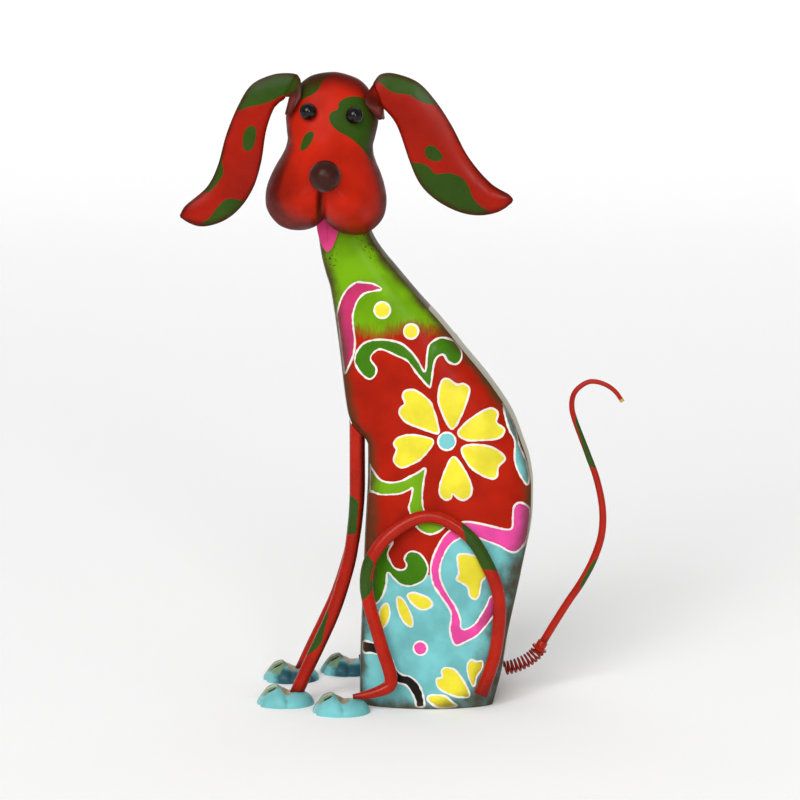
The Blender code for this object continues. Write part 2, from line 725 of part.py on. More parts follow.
def make_spring(material):
    """Open coil that arches from the rear of the body up to the ferrule's flange."""
    start, ahead = tail_frame()
    seat = start - ahead * (SOCKET_LENGTH + FLANGE_THICKNESS + SPRING_WIRE / 2 + GAP)
    wall = spine_x(SPRING_HEIGHT) + STRIP_CROWN
    root = Vector((wall + SPRING_WIRE / 2 + 4 * GAP, 0, SPRING_HEIGHT))
    reach = (seat - root).length
    leave = Vector((1, 0, 0.12)).normalized()
    knots = [root, root + leave * reach * 0.3, seat - ahead * reach * 0.3, seat]
    a, b, c, d = knots
    steps = SPRING_TURNS * 8
    coil = (SPRING_OUTER - SPRING_WIRE) / 2
    side = Vector((0, 1, 0))
    line = []
    for k in range(steps + 1):
        t = k / steps
        spot = a * (1 - t) ** 3 + b * 3 * t * (1 - t) ** 2 + c * 3 * t * t * (1 - t) + d * t ** 3
        course = ((b - a) * (1 - t) ** 2 + (c - b) * 2 * t * (1 - t) + (d - c) * t * t).normalized()
        up = course.cross(side)
        turn = 2 * math.pi * SPRING_TURNS * t
        line.append(spot + side * coil * math.cos(turn) + up * coil * math.sin(turn))
    radii = [(SPRING_WIRE / 2, SPRING_WIRE / 2)] * len(line)
    return add_loft("tail_spring", tube_points(line, radii, 5), material)


def main():
    clear_scene()
    red = paint("red enamel", (0.45, 0.03, 0.018), 0.3)
    dark_red = paint("deep red enamel", (0.33, 0.02, 0.012), 0.35)
    turquoise = paint("turquoise enamel", (0.25, 0.57, 0.55), 0.35)
    brown = paint("brown gloss enamel", (0.045, 0.01, 0.007), 0.12)
    black = paint("black gloss bead", (0.006, 0.006, 0.007), 0.06)
    pink = paint("pink enamel", (0.8, 0.06, 0.34), 0.35)
    make_body(red)
    make_head(red)
    make_nose(brown)
    make_eye("eye_left", -1, black)
    make_eye("eye_right", 1, black)
    make_ear("ear_left", LEFT_EAR_OUTER, LEFT_EAR_INNER, LEFT_TAB, dark_red)
    make_ear("ear_right", RIGHT_EAR_OUTER, RIGHT_EAR_INNER, RIGHT_TAB, dark_red)
    make_tongue(pink)
    for side, sign in (("near", -1), ("far", 1)):
        make_front_leg("front_leg_" + side, sign, red)
        make_hind_leg("hind_leg_" + side, sign, red)
        make_paw("front_paw_" + side, FRONT_PAW_AT, sign * FRONT_STANCE, turquoise)
        make_paw("hind_paw_" + side, HIND_PAW_AT, sign * HIND_STANCE, turquoise)
    make_spring(dark_red)
    make_ferrule(dark_red)
    make_tail(red)


main()
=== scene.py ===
"""Looks of the painted sheet-metal dog, laid out as a Blender add-on and run as a script.

Places are in millimetres in the model's own frame: X from the chest to the tail, -Y the near
side, Z up, origin in the middle of the body's underside.
"""
import math
from collections import Counter

import bmesh
import bpy
import numpy as np
from bpy.props import FloatProperty, FloatVectorProperty, PointerProperty
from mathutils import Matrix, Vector
from mathutils.geometry import delaunay_2d_cdt


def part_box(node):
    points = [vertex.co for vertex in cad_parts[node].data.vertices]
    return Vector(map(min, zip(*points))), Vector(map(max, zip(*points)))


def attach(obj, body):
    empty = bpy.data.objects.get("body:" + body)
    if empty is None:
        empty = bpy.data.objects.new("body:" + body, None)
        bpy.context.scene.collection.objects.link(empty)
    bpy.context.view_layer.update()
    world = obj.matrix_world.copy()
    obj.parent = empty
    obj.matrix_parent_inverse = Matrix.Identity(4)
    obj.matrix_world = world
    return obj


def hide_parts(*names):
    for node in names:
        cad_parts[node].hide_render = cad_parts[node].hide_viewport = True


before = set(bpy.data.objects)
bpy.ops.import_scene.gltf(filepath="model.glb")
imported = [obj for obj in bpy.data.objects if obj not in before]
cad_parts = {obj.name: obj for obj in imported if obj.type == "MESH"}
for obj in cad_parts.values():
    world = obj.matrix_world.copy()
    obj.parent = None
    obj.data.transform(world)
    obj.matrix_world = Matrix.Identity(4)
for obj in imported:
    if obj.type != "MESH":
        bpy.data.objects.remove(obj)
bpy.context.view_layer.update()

bl_info = {
    "name": "Painted Tin Dog",
    "version": (1, 0, 0),
    "blender": (4, 5, 0),
    "location": "View3D > Sidebar > Tin Dog",
    "description": "Builds the finish of a sitting sheet-metal dog around its CAD frame",
    "category": "Object",
}

MM = 0.001
ROOT = "root"

# Body shell, with the shares that its solid has
BODY_HEIGHT = 362.0
BODY_LENGTH = 116.0
BODY_DEPTH = 92.0
STRIP_DEPTH = 0.674 * BODY_DEPTH
STRIP_CROWN = 2.0
ORIGIN_X = 19.08
CHEST_EDGE = (
    (0.0, -0.223), (0.066, -0.221), (0.15, -0.212), (0.304, -0.192), (0.45, -0.172),
    (0.486, -0.172), (0.506, -0.196), (0.526, -0.248), (0.542, -0.285), (0.572, -0.303),
    (0.674, -0.341), (0.787, -0.393), (0.815, -0.419), (0.845, -0.442), (0.9, -0.466),
    (1.0, -0.491),
)
SPINE_EDGE = (
    (0.0, 0.552), (0.061, 0.6), (0.127, 0.632), (0.254, 0.713), (0.37, 0.772),
    (0.414, 0.773), (0.461, 0.753), (0.497, 0.716), (0.547, 0.656), (0.608, 0.533),
    (0.67, 0.376), (0.728, 0.228), (0.773, 0.101), (0.831, -0.05), (0.85, -0.1),
    (0.878, -0.16), (0.9, -0.19), (0.94, -0.212), (1.0, -0.245),
)
PANEL_BULGE = (
    (0.0, 1.0), (0.08, 0.99), (0.17, 0.955), (0.276, 0.88), (0.414, 0.76), (0.552, 0.64),
    (0.69, 0.53), (0.829, 0.435), (0.9, 0.4), (1.0, 0.37),
)
STRIP_TAPER = (
    (0.0, 1.0), (0.17, 0.935), (0.276, 0.855), (0.414, 0.71), (0.552, 0.58), (0.69, 0.485),
    (0.829, 0.4), (1.0, 0.355),
)
PANEL_ROUNDING = 0.6
SEAM_LIP = 0.5
SEAM_LIP_WIDTH = 1.1
DENT_DEPTH = 0.14
DENT_MARGIN = 8.0
LIME_FROM = 258.5
PALE_STRIP_TO = 272.0
NECK_WEAR_FROM = 300.0

# Head, measured from the nose and rolled
HEAD_HEIGHT = 108.0
HEAD_ROLL = math.radians(4.5)
NOSE_X = -0.4078 * BODY_LENGTH
NOSE_Z = BODY_HEIGHT + 0.06 * HEAD_HEIGHT
BACK_PLANE = -0.2283 * BODY_DEPTH
RIM_PLANE = BACK_PLANE - 7.0
FOREHEAD_RISE = 22.0
MUZZLE_RISE = 16.0
JOWL_RISE = 15.0
GROOVE_DEPTH = 5.0
GROOVE_SIDE = -2.6
NOSE_BOSS = 4.0
BACK_RISE = 50.0
HEAD_MIDDLE = 5.0
BRIDGE_UP, BRIDGE_SPREAD = -4.0, 22.0
BRIDGE_ABOVE, BRIDGE_BELOW = 26.0, 30.0
JOWL_SIDE, JOWL_UP, JOWL_SPREAD = 20.0, -22.0, 17.0
GROOVE_TOP, GROOVE_WIDTH = -12.0, 2.0
BOSS_UP, BOSS_SPREAD = 1.0, 10.0
NECK_CLEARANCE = 0.3
HEAD_RIM = (
    (0, 0.352), (5, 0.398), (13, 0.444), (20, 0.472), (27, 0.494), (34, 0.505), (41, 0.5),
    (48, 0.487), (55, 0.459), (62, 0.424), (73, 0.366), (83, 0.324), (93, 0.294),
    (104, 0.281), (113, 0.288), (124, 0.333), (134, 0.398), (144, 0.451), (151, 0.489),
    (159, 0.526), (165, 0.542), (173, 0.55), (180, 0.555),
)
EYE_RADIUS = 5.7
EYE_SPREAD = 0.134 * HEAD_HEIGHT
EYE_HEIGHT = 0.354 * HEAD_HEIGHT
EYE_SEAT = 3.1
NOSE_RADIUS = 10.5
NOSE_SEAT = 4.5

# Ears and tongue
EAR_SHEET = 1.2
EAR_CUP = 2.5
EAR_CUP_WIDTH = 22.0
EAR_FOLD = 0.8
EAR_TIP_FROM = 0.955
EAR_CLEARANCE = 1.2
EAR_PLANE = RIM_PLANE - 4.0
LEFT_EAR_OUTER = (
    (-0.197, 0.495), (-0.213, 0.552), (-0.268, 0.571), (-0.381, 0.555), (-0.504, 0.486),
    (-0.577, 0.356), (-0.639, 0.17), (-0.678, -0.029), (-0.736, -0.17), (-0.856, -0.293),
    (-0.894, -0.352),
)
LEFT_EAR_INNER = (
    (-0.262, 0.447), (-0.304, 0.42), (-0.347, 0.383), (-0.38, 0.328), (-0.408, 0.198),
    (-0.421, 0.007), (-0.458, -0.154), (-0.532, -0.285), (-0.632, -0.373), (-0.765, -0.414),
    (-0.889, -0.378),
)
RIGHT_EAR_OUTER = (
    (0.2, 0.485), (0.246, 0.563), (0.285, 0.613), (0.371, 0.622), (0.511, 0.581),
    (0.628, 0.476), (0.74, 0.331), (0.854, 0.15), (1.003, -0.003), (1.136, -0.07), (1.15, -0.09),
)
RIGHT_EAR_INNER = (
    (0.303, 0.424), (0.344, 0.391), (0.394, 0.336), (0.437, 0.258), (0.504, 0.091),
    (0.576, -0.04), (0.676, -0.128), (0.81, -0.189), (0.938, -0.206), (1.06, -0.178),
    (1.149, -0.116),
)
LEFT_TAB = (((-0.195, 0.44), (-0.248, 0.33)), ((-0.258, 0.447), (-0.278, 0.325)))
RIGHT_TAB = (((0.2, 0.437), (0.29, 0.338)), ((0.302, 0.415), (0.323, 0.343)))
TONGUE_LENGTH = 32.0
TONGUE_WIDTH = 16.0
TONGUE_TOP = -0.231 * HEAD_HEIGHT
TONGUE_SIDE = 0.021 * HEAD_HEIGHT
TONGUE_SHEET = 1.0

# Legs, paws and tail
FRONT_TUBE = 9.3
HIND_TUBE = 9.0
HIND_PINCH = 3.2
PAW_GAP = 0.3
SHOULDER_BITE = 0.35
SHOULDER_GAP = 0.8
HUG_GAP = 0.6
FRONT_STANCE = 0.36 * BODY_DEPTH
HIND_STANCE = 0.59 * BODY_DEPTH
FRONT_LEG = (
    (-0.253, 0.48), (-0.253, 0.435), (-0.254, 0.389), (-0.264, 0.342), (-0.29, 0.281),
    (-0.338, 0.223), (-0.392, 0.172), (-0.464, 0.12), (-0.536, 0.071), (-0.582, 0.038),
)
HIND_LEG = (
    (0.487, 0.028), (0.541, 0.075), (0.574, 0.114), (0.594, 0.176), (0.583, 0.225),
    (0.525, 0.275), (0.431, 0.326), (0.287, 0.361), (0.156, 0.3685), (0.028, 0.353),
    (-0.09, 0.322), (-0.167, 0.283), (-0.187, 0.243), (-0.169, 0.204), (-0.13, 0.16),
    (-0.085, 0.112), (-0.058, 0.086), (-0.041, 0.0645), (-0.049, 0.0505), (-0.09, 0.0425),
    (-0.145, 0.0365), (-0.2, 0.0325),
)
HIND_FOOT_REACH = -0.264
PAW_LENGTH = 39.0
PAW_WIDTH = 31.0
PAW_RISE = 12.6
PAW_EDGE = 1.2
TOE_SPLIT = 19
TOE_SLOT = 0.4
TOE_DROP = 0.24
HEEL_SPLIT = 96
FRONT_PAW_AT = -0.6716 * BODY_LENGTH
HIND_PAW_AT = -0.3336 * BODY_LENGTH
PAW_PROFILE = (
    (-1.0, 0.54), (-0.75, 0.62), (-0.4, 0.62), (-0.12, 0.56), (0.1, 0.72), (0.34, 1.0),
    (0.6, 0.93), (0.85, 0.62), (1.0, 0.4),
)
TAIL_HEIGHT = 183.0
TAIL_LINE = (
    (0.0, 0.0), (0.043, 0.074), (0.093, 0.156), (0.14, 0.228), (0.185, 0.316), (0.215, 0.412),
    (0.218, 0.513), (0.196, 0.624), (0.159, 0.727), (0.111, 0.853), (0.099, 0.906),
    (0.106, 0.951), (0.133, 0.983), (0.172, 1.0), (0.22, 0.99), (0.259, 0.964), (0.289, 0.924),
)
TAIL_ROOT_AT = (0.8595 * BODY_LENGTH, 0.102 * BODY_HEIGHT)
TAIL_ROOT = 5.4
TAIL_TIP = 3.0
TAIL_TAPER_FROM = 0.3
SPRING_WIRE = 1.6
SPRING_OUTER = 10.0
SPRING_TURNS = 10
SPRING_HEIGHT = 0.048 * BODY_HEIGHT
PLUG_LENGTH = 3.0
FLANGE_DIAMETER = 11.0
FLANGE_THICKNESS = 1.6
SOCKET_DIAMETER = 7.2
SOCKET_LENGTH = 5.0

# Painted figures on the near panel: along from the origin and up
CRESCENT = (
    (-56.5, 228.5), (-60, 249), (-61.5, 264.5), (-60, 273.5), (-57.5, 280.5), (-53.5, 286.5),
    (-48, 290.5), (-43, 290.5), (-36.5, 289.5), (-31, 286), (-36, 285), (-42, 283.5),
    (-46, 280), (-48.5, 275.5), (-50.5, 267.5), (-50, 259), (-49, 250), (-50, 241.5), (-53, 233.5),
)
SCROLL = (
    (-49, 239), (-47, 244.5), (-41.5, 250), (-31, 252), (-19, 250), (-12, 245), (-7, 239),
    (-1.5, 230.5), (0, 242.5), (1.5, 248.5), (7.5, 252.5), (13.5, 252), (19.5, 248.5),
    (23, 242.5), (22.5, 237.5), (19, 235), (14, 237), (11, 241.5), (7, 240.5), (4.5, 235.5),
    (2.5, 222), (1, 220.5), (-7, 229.5), (-13, 237.5), (-21, 241.5), (-31, 245.5),
    (-36.5, 243), (-38.5, 238.5), (-34.5, 232.5), (-35.5, 227.5), (-39.5, 225), (-45, 229),
    (-48.5, 234.5),
)
PETALS = (
    ((16.5, 192), (8.5, 207.5), (8, 217), (10, 224), (14, 225.5), (20, 221.5), (24.5, 222),
     (28.5, 218.5), (27, 211), (23, 200.5)),
    ((21, 189), (26.5, 196), (36, 202.5), (43.5, 205), (48, 201.5), (47, 195.5),
     (52.5, 190.5), (48.5, 185), (36, 184), (26.5, 184.5)),
    ((23.5, 178), (29.5, 181), (41, 180), (48.5, 176.5), (53, 171), (48.5, 166),
     (47.5, 159.5), (44, 158), (36.5, 161), (28.5, 167.5)),
    ((18, 173), (25, 165), (30, 154.5), (30, 147.5), (26, 144), (22, 144.5), (17.5, 148),
     (16.5, 145), (12.5, 144), (9, 147.5), (9, 153.5), (12.5, 164)),
    ((4.5, 183), (-2, 186.5), (-12.5, 187.5), (-20, 185), (-22.5, 181), (-20.5, 177),
     (-22.5, 170.5), (-21, 167), (-17, 165), (-11.5, 167), (-3.5, 172)),
    ((7.5, 189), (-2, 191.5), (-13.5, 196), (-18.5, 201.5), (-18, 205.5), (-15, 209),
     (-16.5, 214), (-14.5, 217.5), (-8.5, 218), (-2, 214), (3, 208.5), (7, 196)),
)
ZIGZAG = (
    (-41, 166), (-33.5, 157.5), (-29.5, 155), (-23.5, 154.5), (-17, 156), (-11.5, 159), (-6, 162),
    (-1, 165), (-2, 157.5), (-3, 149), (-3, 142.5), (-2, 137), (2, 131.5), (12, 127),
    (10.5, 124), (6.5, 121.5), (2, 120.5), (-3.5, 122.5), (-7.5, 126.5), (-11, 134.5),
    (-12, 139), (-10.5, 144), (-9.5, 151.5), (-12.5, 150), (-18, 147.5), (-24.5, 146.5),
    (-31, 146), (-36, 147), (-41, 149.5),
)
TEAL_LEAF = (
    (52.5, 207.5), (52, 204), (53.5, 197), (56, 189.5), (59.5, 182.5), (59.5, 172),
    (60.5, 166), (63.5, 159), (68, 152.5), (69.5, 157.5), (68.5, 164.5), (65.5, 172.5),
    (62.5, 179.5), (60.5, 188), (57, 197.5),
)
WING = (
    (21, 126.5), (26.5, 129), (36.5, 127.5), (46, 125), (54, 123), (58, 124), (58.5, 131),
    (59, 137.5), (61.5, 140.5), (65.5, 140), (70, 135.5), (71.5, 126), (69.5, 118.5),
    (67, 113), (63, 108.5), (59.5, 107), (55, 108.5), (50.5, 111.5), (44, 114.5), (36.5, 117.5),
    (28, 121),
)
LOOP = (
    (19, 124.5), (12.5, 120), (7.5, 112), (4, 103.5), (3, 95), (5, 86), (10.5, 77.5), (16, 69),
    (17, 63.5), (16, 55.5), (18, 47), (21, 44.5), (27, 47), (34.5, 51), (41, 58), (47, 66.5),
    (48.5, 76.5), (43.5, 77), (41, 71.5), (36.5, 64), (32.5, 58.5), (27, 55.5), (23.5, 56.5),
    (23, 63), (19.5, 72), (15, 78.5), (10.5, 87.5), (9, 95), (10.5, 103.5), (16, 113.5),
    (22.5, 118), (26.5, 120),
)
FERN = (
    (-23, 114.5), (-26.5, 106.5), (-24.5, 100.5), (-21.5, 96.5), (-17, 95.5), (-14, 97),
    (-13.5, 100), (-15, 103), (-13, 107), (-9.5, 108.5), (-4.5, 107), (-0.5, 102), (1, 96.5),
    (-1, 90.5), (-5.5, 87), (-11.5, 85), (-17.5, 86), (-22, 89.5), (-26.5, 93.5), (-27.5, 85),
    (-30, 77), (-34.5, 71.5), (-37.5, 75), (-37.5, 91.5), (-33, 104), (-27.5, 111),
)
LOZENGE = (
    (21, 105), (22.5, 107), (28, 107), (33.5, 105.5), (36.5, 103.5), (40.5, 92.5), (37.5, 88),
    (36.5, 82.5), (35.5, 78), (33, 76), (29.5, 78.5), (28, 84.5), (23, 88), (20.5, 90), (22, 94),
    (21.5, 99.5),
)
SMALL_LEAVES = (
    ((-26.5, 72), (-30.5, 69.5), (-32.5, 62.5), (-31.5, 56), (-30.5, 54.5), (-27, 58.5),
     (-25, 65.5)),
    ((-20, 76.5), (-19, 67.5), (-15, 60), (-10, 57), (-9.5, 62.5), (-13, 71), (-16.5, 76)),
    ((-13, 78.5), (-9, 72.5), (-2.5, 69), (4, 72), (1.5, 77), (-4.5, 79.5), (-9, 80.5)),
    ((30.5, 34), (34, 32.5), (38, 32.5), (38, 27.5), (34.5, 22), (32.5, 15), (29, 22),
     (28, 30)),
    ((13, 29), (17, 28.5), (20.5, 26.5), (26.5, 17.5), (29.5, 8.5), (23.5, 8), (19, 9),
     (9.5, 14), (7, 19), (7.5, 21.5), (11, 22.5), (10.5, 27)),
    ((1.5, 9), (5.5, 10), (13, 9), (18, 4.5), (21, 2), (15, 1), (7.5, 1.5), (1.5, 6)),
)
BAND = (
    (-43, 44), (-35.5, 44), (-30.5, 43), (-26.5, 40), (-23, 33.5), (-20.5, 27), (-16, 23.5),
    (-11, 22.5), (-6, 18.5), (-3, 13), (-1.5, 6.5), (-1.5, 1.9), (-6.5, 1.9), (-7.5, 6.5),
    (-10.5, 12.5), (-14, 16.5), (-20.5, 18.5), (-23, 23.5), (-26.5, 31), (-32, 36), (-37.5, 37),
    (-43, 36.5),
)
DOTS = (((-30.5, 272), 5.4), ((-11, 257.5), 4.9))
FLOWER_EYE = ((13.5, 183.5), 5.9)
PINK_DOT = ((-4, 42.5), 4.7)
OUTLINE_STEP = 1.1
FILL_STEP = 1.7
FIGURE_SKIN = 0.08
FIGURE_SINK = 0.5
FIGURE_ROUNDING = 2.2
TURQUOISE_FIELD = (
    (-70, -20), (-70, 68), (-37, 72), (-31, 77.5), (-28, 85), (-27, 94), (-21.5, 89.5),
    (-16, 85.5), (-9, 85.5), (-2.5, 89.5), (0.5, 93), (6, 94), (7, 105), (13, 117), (24, 124),
    (40, 121), (54, 114), (60, 111), (65, 113), (70, 116), (110, 122), (110, -20),
)

# Painted patches on the head and ears, from the nose
HEAD_PATCHES = (
    ((-1.5, 36.5), (0.5, 40.5), (4.5, 42), (4, 46), (8, 49.5), (13.5, 51), (19, 50.5), (25.5, 46.5),
     (31, 41), (38.5, 35.5), (44, 20), (48, 8), (44, 0), (39.5, 2), (34.5, 5), (27, 11), (20.5, 19),
     (13, 24.5), (5.5, 28), (1, 31.5)),
    ((-25.5, 62.5), (-13, 67), (-2.5, 65.5), (-4.5, 62), (-8, 58.5), (-10, 53.5), (-13, 50.5),
     (-18, 47.5), (-22, 46), (-25.5, 53)),
    ((-12, 26.5), (-10, 24.5), (-11.5, 19.5), (-14, 15.5), (-17.5, 13), (-18.5, 14), (-18, 19),
     (-16, 24)),
)
LEFT_EAR_PATCHES = (
    ((-21, 49), (-27.5, 49), (-34.5, 46.5), (-41.5, 42.5), (-50.5, 39), (-56.5, 37.5), (-61.5, 34.5),
     (-66.5, 37.5), (-70, 50), (-64.5, 62), (-39.5, 68), (-20, 66)),
    ((-52.5, 25.5), (-50, 23.5), (-49.5, 18), (-51.5, 10), (-56, 8.5), (-58, 12.5), (-58, 18),
     (-56.5, 23)),
    ((-70.5, 6), (-71, -0.5), (-69.5, -7), (-72, -13.5), (-76.5, -19.5), (-80, -22.5), (-86, -18),
     (-78, -1)),
    ((-68, -26.5), (-64, -24.5), (-59, -25), (-53.5, -26.5), (-52, -35), (-70.5, -48), (-82, -48),
     (-81.5, -42.5), (-76.5, -38.5), (-73, -32.5)),
)
RIGHT_EAR_PATCHES = (
    ((22, 59.5), (26.5, 61), (30, 61), (33, 59), (37.5, 55.5), (43, 54.5), (49, 54.5), (54, 52.5),
     (57.5, 50.5), (62, 49.5), (70, 50), (68, 68), (44, 76), (22, 73)),
    ((63.5, 19), (65.5, 21.5), (69.5, 21.5), (73.5, 18.5), (76, 15), (75, 13), (71, 11.5),
     (66.5, 13), (64, 15.5)),
    ((48, 8), (59, 9.5), (65.5, 8.5), (69, 5.5), (72.5, 3), (79, 4.5), (84.5, 4), (90.5, 1.5),
     (95, -4), (98, -10.5), (103, -15.5), (110, -20), (113, -26.5), (93, -32), (65, -22), (49, -4)),
)

# Painted patches on tubes, seen from the near side: along and up
FRONT_LEG_PATCHES = (
    ((-60, 146), (-53, 144.5), (-50, 143), (-46.7, 138.5), (-47.7, 128), (-48.4, 119), (-53.5, 117.8),
     (-60, 119)),
    ((-69, 67), (-67.5, 62), (-68.9, 57), (-70.3, 50.5), (-72.4, 42.7), (-78.3, 36.7), (-86, 33),
     (-92, 45), (-76, 68)),
)
HIND_LEG_PATCHES = (
    ((24, 129), (30, 131), (46, 122), (58, 104), (54, 94), (50, 95.5), (44, 98), (37, 99), (31, 106),
     (27, 117), (25.5, 123.5)),
    ((-40.5, 108.3), (-37, 105), (-35.7, 101.6), (-37.8, 92.8), (-36.2, 87.2), (-38.4, 81.6),
     (-43.3, 77.7), (-52, 76), (-52, 110)),
)
TAIL_PATCHES = (
    ((101, 193.5), (104, 196), (114, 194), (120, 162), (112.8, 160.8), (109.4, 164.6), (105, 180)),
    ((115.5, 95.5), (121, 96), (112, 73), (105.6, 76.3), (109, 85)),
)

# View of the photograph
CAMERA_DISTANCE = 2300.0
CAMERA_RISE = math.radians(10.0)
CAMERA_TURN = math.radians(1.5)
CAMERA_LENS = 150.8
CAMERA_TARGET = (-19.08, 0.0, 206.4)

# Lights, with places and sizes in metres
LIGHT_AIM = (0, 0, 0.22)
ROOM_STRENGTH = 0.4
SUN_FROM, SUN_POWER, SUN_SPREAD = (-0.5, -1.6, 1.3), 1.7, math.radians(40)
AREA_LIGHTS = (("key", (-0.9, -1.7, 1.3), 0.4, 5.0), ("rim", (0.45, -1.65, 0.72), 0.3, 5.0))

# Sides of the swept profiles
TUBE_SIDES = 28
ROD_SIDES = 24
WIRE_SIDES = 12
CORD_SIDES = 8


def linear(code):
    """Scene-linear colour of an sRGB hex code."""
    parts = [int(code[i:i + 2], 16) / 255 for i in (1, 3, 5)]
    return tuple(c / 12.92 if c <= 0.04045 else ((c + 0.055) / 1.055) ** 2.4 for c in parts)


def colour(label, code):
    return FloatVectorProperty(name=label, description=label + " of the finish", subtype="COLOR",
                               size=3, min=0.0, max=1.0, default=linear(code))


def length(label, value, words):
    return FloatProperty(name=label, description=words, default=value * MM, min=0.0,
                         subtype="DISTANCE", unit="LENGTH")


class TinDogSizes(bpy.types.PropertyGroup):
    line_radius: length("Line radius", 0.92, "Radius of the piped white paint line")
    line_sink: length("Line sink", 0.5, "How far the middle of the line lies below the panel")
    emboss: length("Emboss", 0.5, "Height of the pressed figures above the panel")
    mesh_step: length("Mesh step", 1.6, "Spacing of the body shell's rows")
    airbrush: length("Airbrush reach", 10.0, "Width of the dark shading along the seams")


class TinDogColours(bpy.types.PropertyGroup):
    red: colour("Red", "#A21B07")
    face: colour("Face red", "#B4200B")
    ear_red: colour("Ear red", "#961706")
    lime: colour("Lime", "#6A9D0B")
    turquoise: colour("Turquoise", "#6FB6B8")
    cream: colour("Cream", "#B3AD9B")
    yellow: colour("Yellow", "#DDD034")
    rose: colour("Rose", "#B42E5E")
    tongue: colour("Tongue pink", "#DE3F82")
    pink: colour("Pink", "#DC4696")
    leaf: colour("Leaf green", "#3A7006")
    patch: colour("Patch green", "#2D470F")
    white: colour("White line", "#E6E1DA")
    black: colour("Black band", "#1A1513")
    # The airbrush colours also give painted shade: oxblood on the head and the front legs' rear sides,
    # brown on the paws
    shade: colour("Brown airbrush and painted shade", "#44321A")
    oxblood: colour("Oxblood airbrush and painted shade", "#3A0D05")
    nose: colour("Nose brown", "#36120A")
    spring: colour("Spring red", "#8E1D14")
    mauve: colour("Root mauve", "#7E3C34")
    bead: colour("Bead black", "#070606")
    olive: colour("Wiped olive", "#6E8A6A")
    tan: colour("Worn tan", "#94866A")
    painted_shade_blue: colour("Petrol blue", "#2A5560")
    brass: colour("Bare brass", "#A8924A")
    rust: colour("Brushed rust", "#7A3A14")
    chip: colour("Chipped dark", "#2B2A0C")
    paper: colour("Stage paper", "#FFFFFF")


def sizes():
    return bpy.context.scene.tin_dog_sizes


def colours():
    return bpy.context.scene.tin_dog_colours


def follow(stations, at):
    """Values along (place, value) stations, smooth and without overshoot."""
    places = np.array([s[0] for s in stations], float)
    values = np.array([s[1] for s in stations], float)
    spans = np.diff(places)
    rises = np.diff(values) / spans
    inner = np.zeros(len(rises) - 1)
    same = rises[:-1] * rises[1:] > 0
    inner[same] = 2 * rises[:-1][same] * rises[1:][same] / (rises[:-1][same] + rises[1:][same])
    slopes = np.concatenate(([rises[0]], inner, [rises[-1]]))
    at = np.clip(np.asarray(at, float), places[0], places[-1])
    i = np.clip(np.searchsorted(places, at, side="right") - 1, 0, len(spans) - 1)
    t = (at - places[i]) / spans[i]
    ease = t * t * (3 - 2 * t)
    return (values[i] * (1 - ease) + values[i + 1] * ease
            + spans[i] * slopes[i] * t * (1 - t) ** 2 - spans[i] * slopes[i + 1] * t * t * (1 - t))


def smooth_line(points, count, closed=False):
    """Evenly spaced points on a smooth curve through the given points."""
    knots = [Vector(p) for p in points]
    if closed:
        ends = [knots[-1]] + knots + knots[:2]
    else:
        ends = [2 * knots[0] - knots[1]] + knots + [2 * knots[-1] - knots[-2]]
    fine = []
    for i in range(1, len(ends) - 2):
        a, b, c, d = ends[i - 1:i + 3]
        for k in range(16):
            t = k / 16
            fine.append(0.5 * (2 * b + (c - a) * t + (2 * a - 5 * b + 4 * c - d) * t * t
                               + (3 * b - a - 3 * c + d) * t ** 3))
    fine.append(ends[-2])
    fine = np.array([tuple(p) for p in fine])
    run = np.concatenate(([0.0], np.cumsum(np.linalg.norm(np.diff(fine, axis=0), axis=1))))
    goals = np.linspace(0, run[-1], count + 1 if closed else count)
    if closed:
        goals = goals[:-1]
    return np.stack([np.interp(goals, run, fine[:, k]) for k in range(fine.shape[1])], axis=1)


def bell(value, middle, width):
    return np.exp(-((value - middle) / width) ** 2)


def body_x(share):
    """Place along the body from its share of the body's length."""
    return share * BODY_LENGTH - ORIGIN_X


def chest_x(z):
    return body_x(follow(CHEST_EDGE, np.asarray(z) / BODY_HEIGHT))


def spine_x(z):
    return body_x(follow(SPINE_EDGE, np.asarray(z) / BODY_HEIGHT))


def strip_half(z):
    return follow(STRIP_TAPER, np.asarray(z) / BODY_HEIGHT) * STRIP_DEPTH / 2


def dents(x, z):
    """Slight unevenness of hand-worked sheet."""
    wave = np.sin(x / 8.7 + 1.3) * np.sin(z / 12.4 + 0.7) + 0.6 * np.sin(x / 5.3 + z / 8.1)
    return DENT_DEPTH * wave


def panel_depth(x, z):
    """Half depth of a side panel at x and height z."""
    x, z = np.asarray(x, float), np.asarray(z, float)
    low, high = chest_x(z), spine_x(z)
    share = np.clip((x - low) / (high - low), 0, 1)
    half = follow(PANEL_BULGE, z / BODY_HEIGHT) * BODY_DEPTH / 2
    edge = strip_half(z)
    bow = (1 - (2 * share - 1) ** 2) ** PANEL_ROUNDING
    calm = np.clip(np.minimum(x - low, high - x) / DENT_MARGIN, 0, 1)
    return edge + (half - edge) * bow + dents(x, z) * calm


def soiled(x, z):
    """Below 1 where the brown airbrush reaches further in, low at the rear of the body."""
    rear = np.clip((150 - z) / 60, 0, 1) * np.clip((x - 5) / 30, 0, 1)
    chest = bell(z, 125, 60) * np.clip((-25 - x) / 10, 0, 1)
    return 1 - 0.72 * rear - 0.5 * chest


def seam_distance(x, z):
    """Distance from a place on a side panel to the nearest edge of the panel, as airbrushed."""
    side = np.minimum(x - chest_x(z), spine_x(z) - x) * 0.95
    return np.minimum(side, z * 0.9) * soiled(x, z) + 0.3


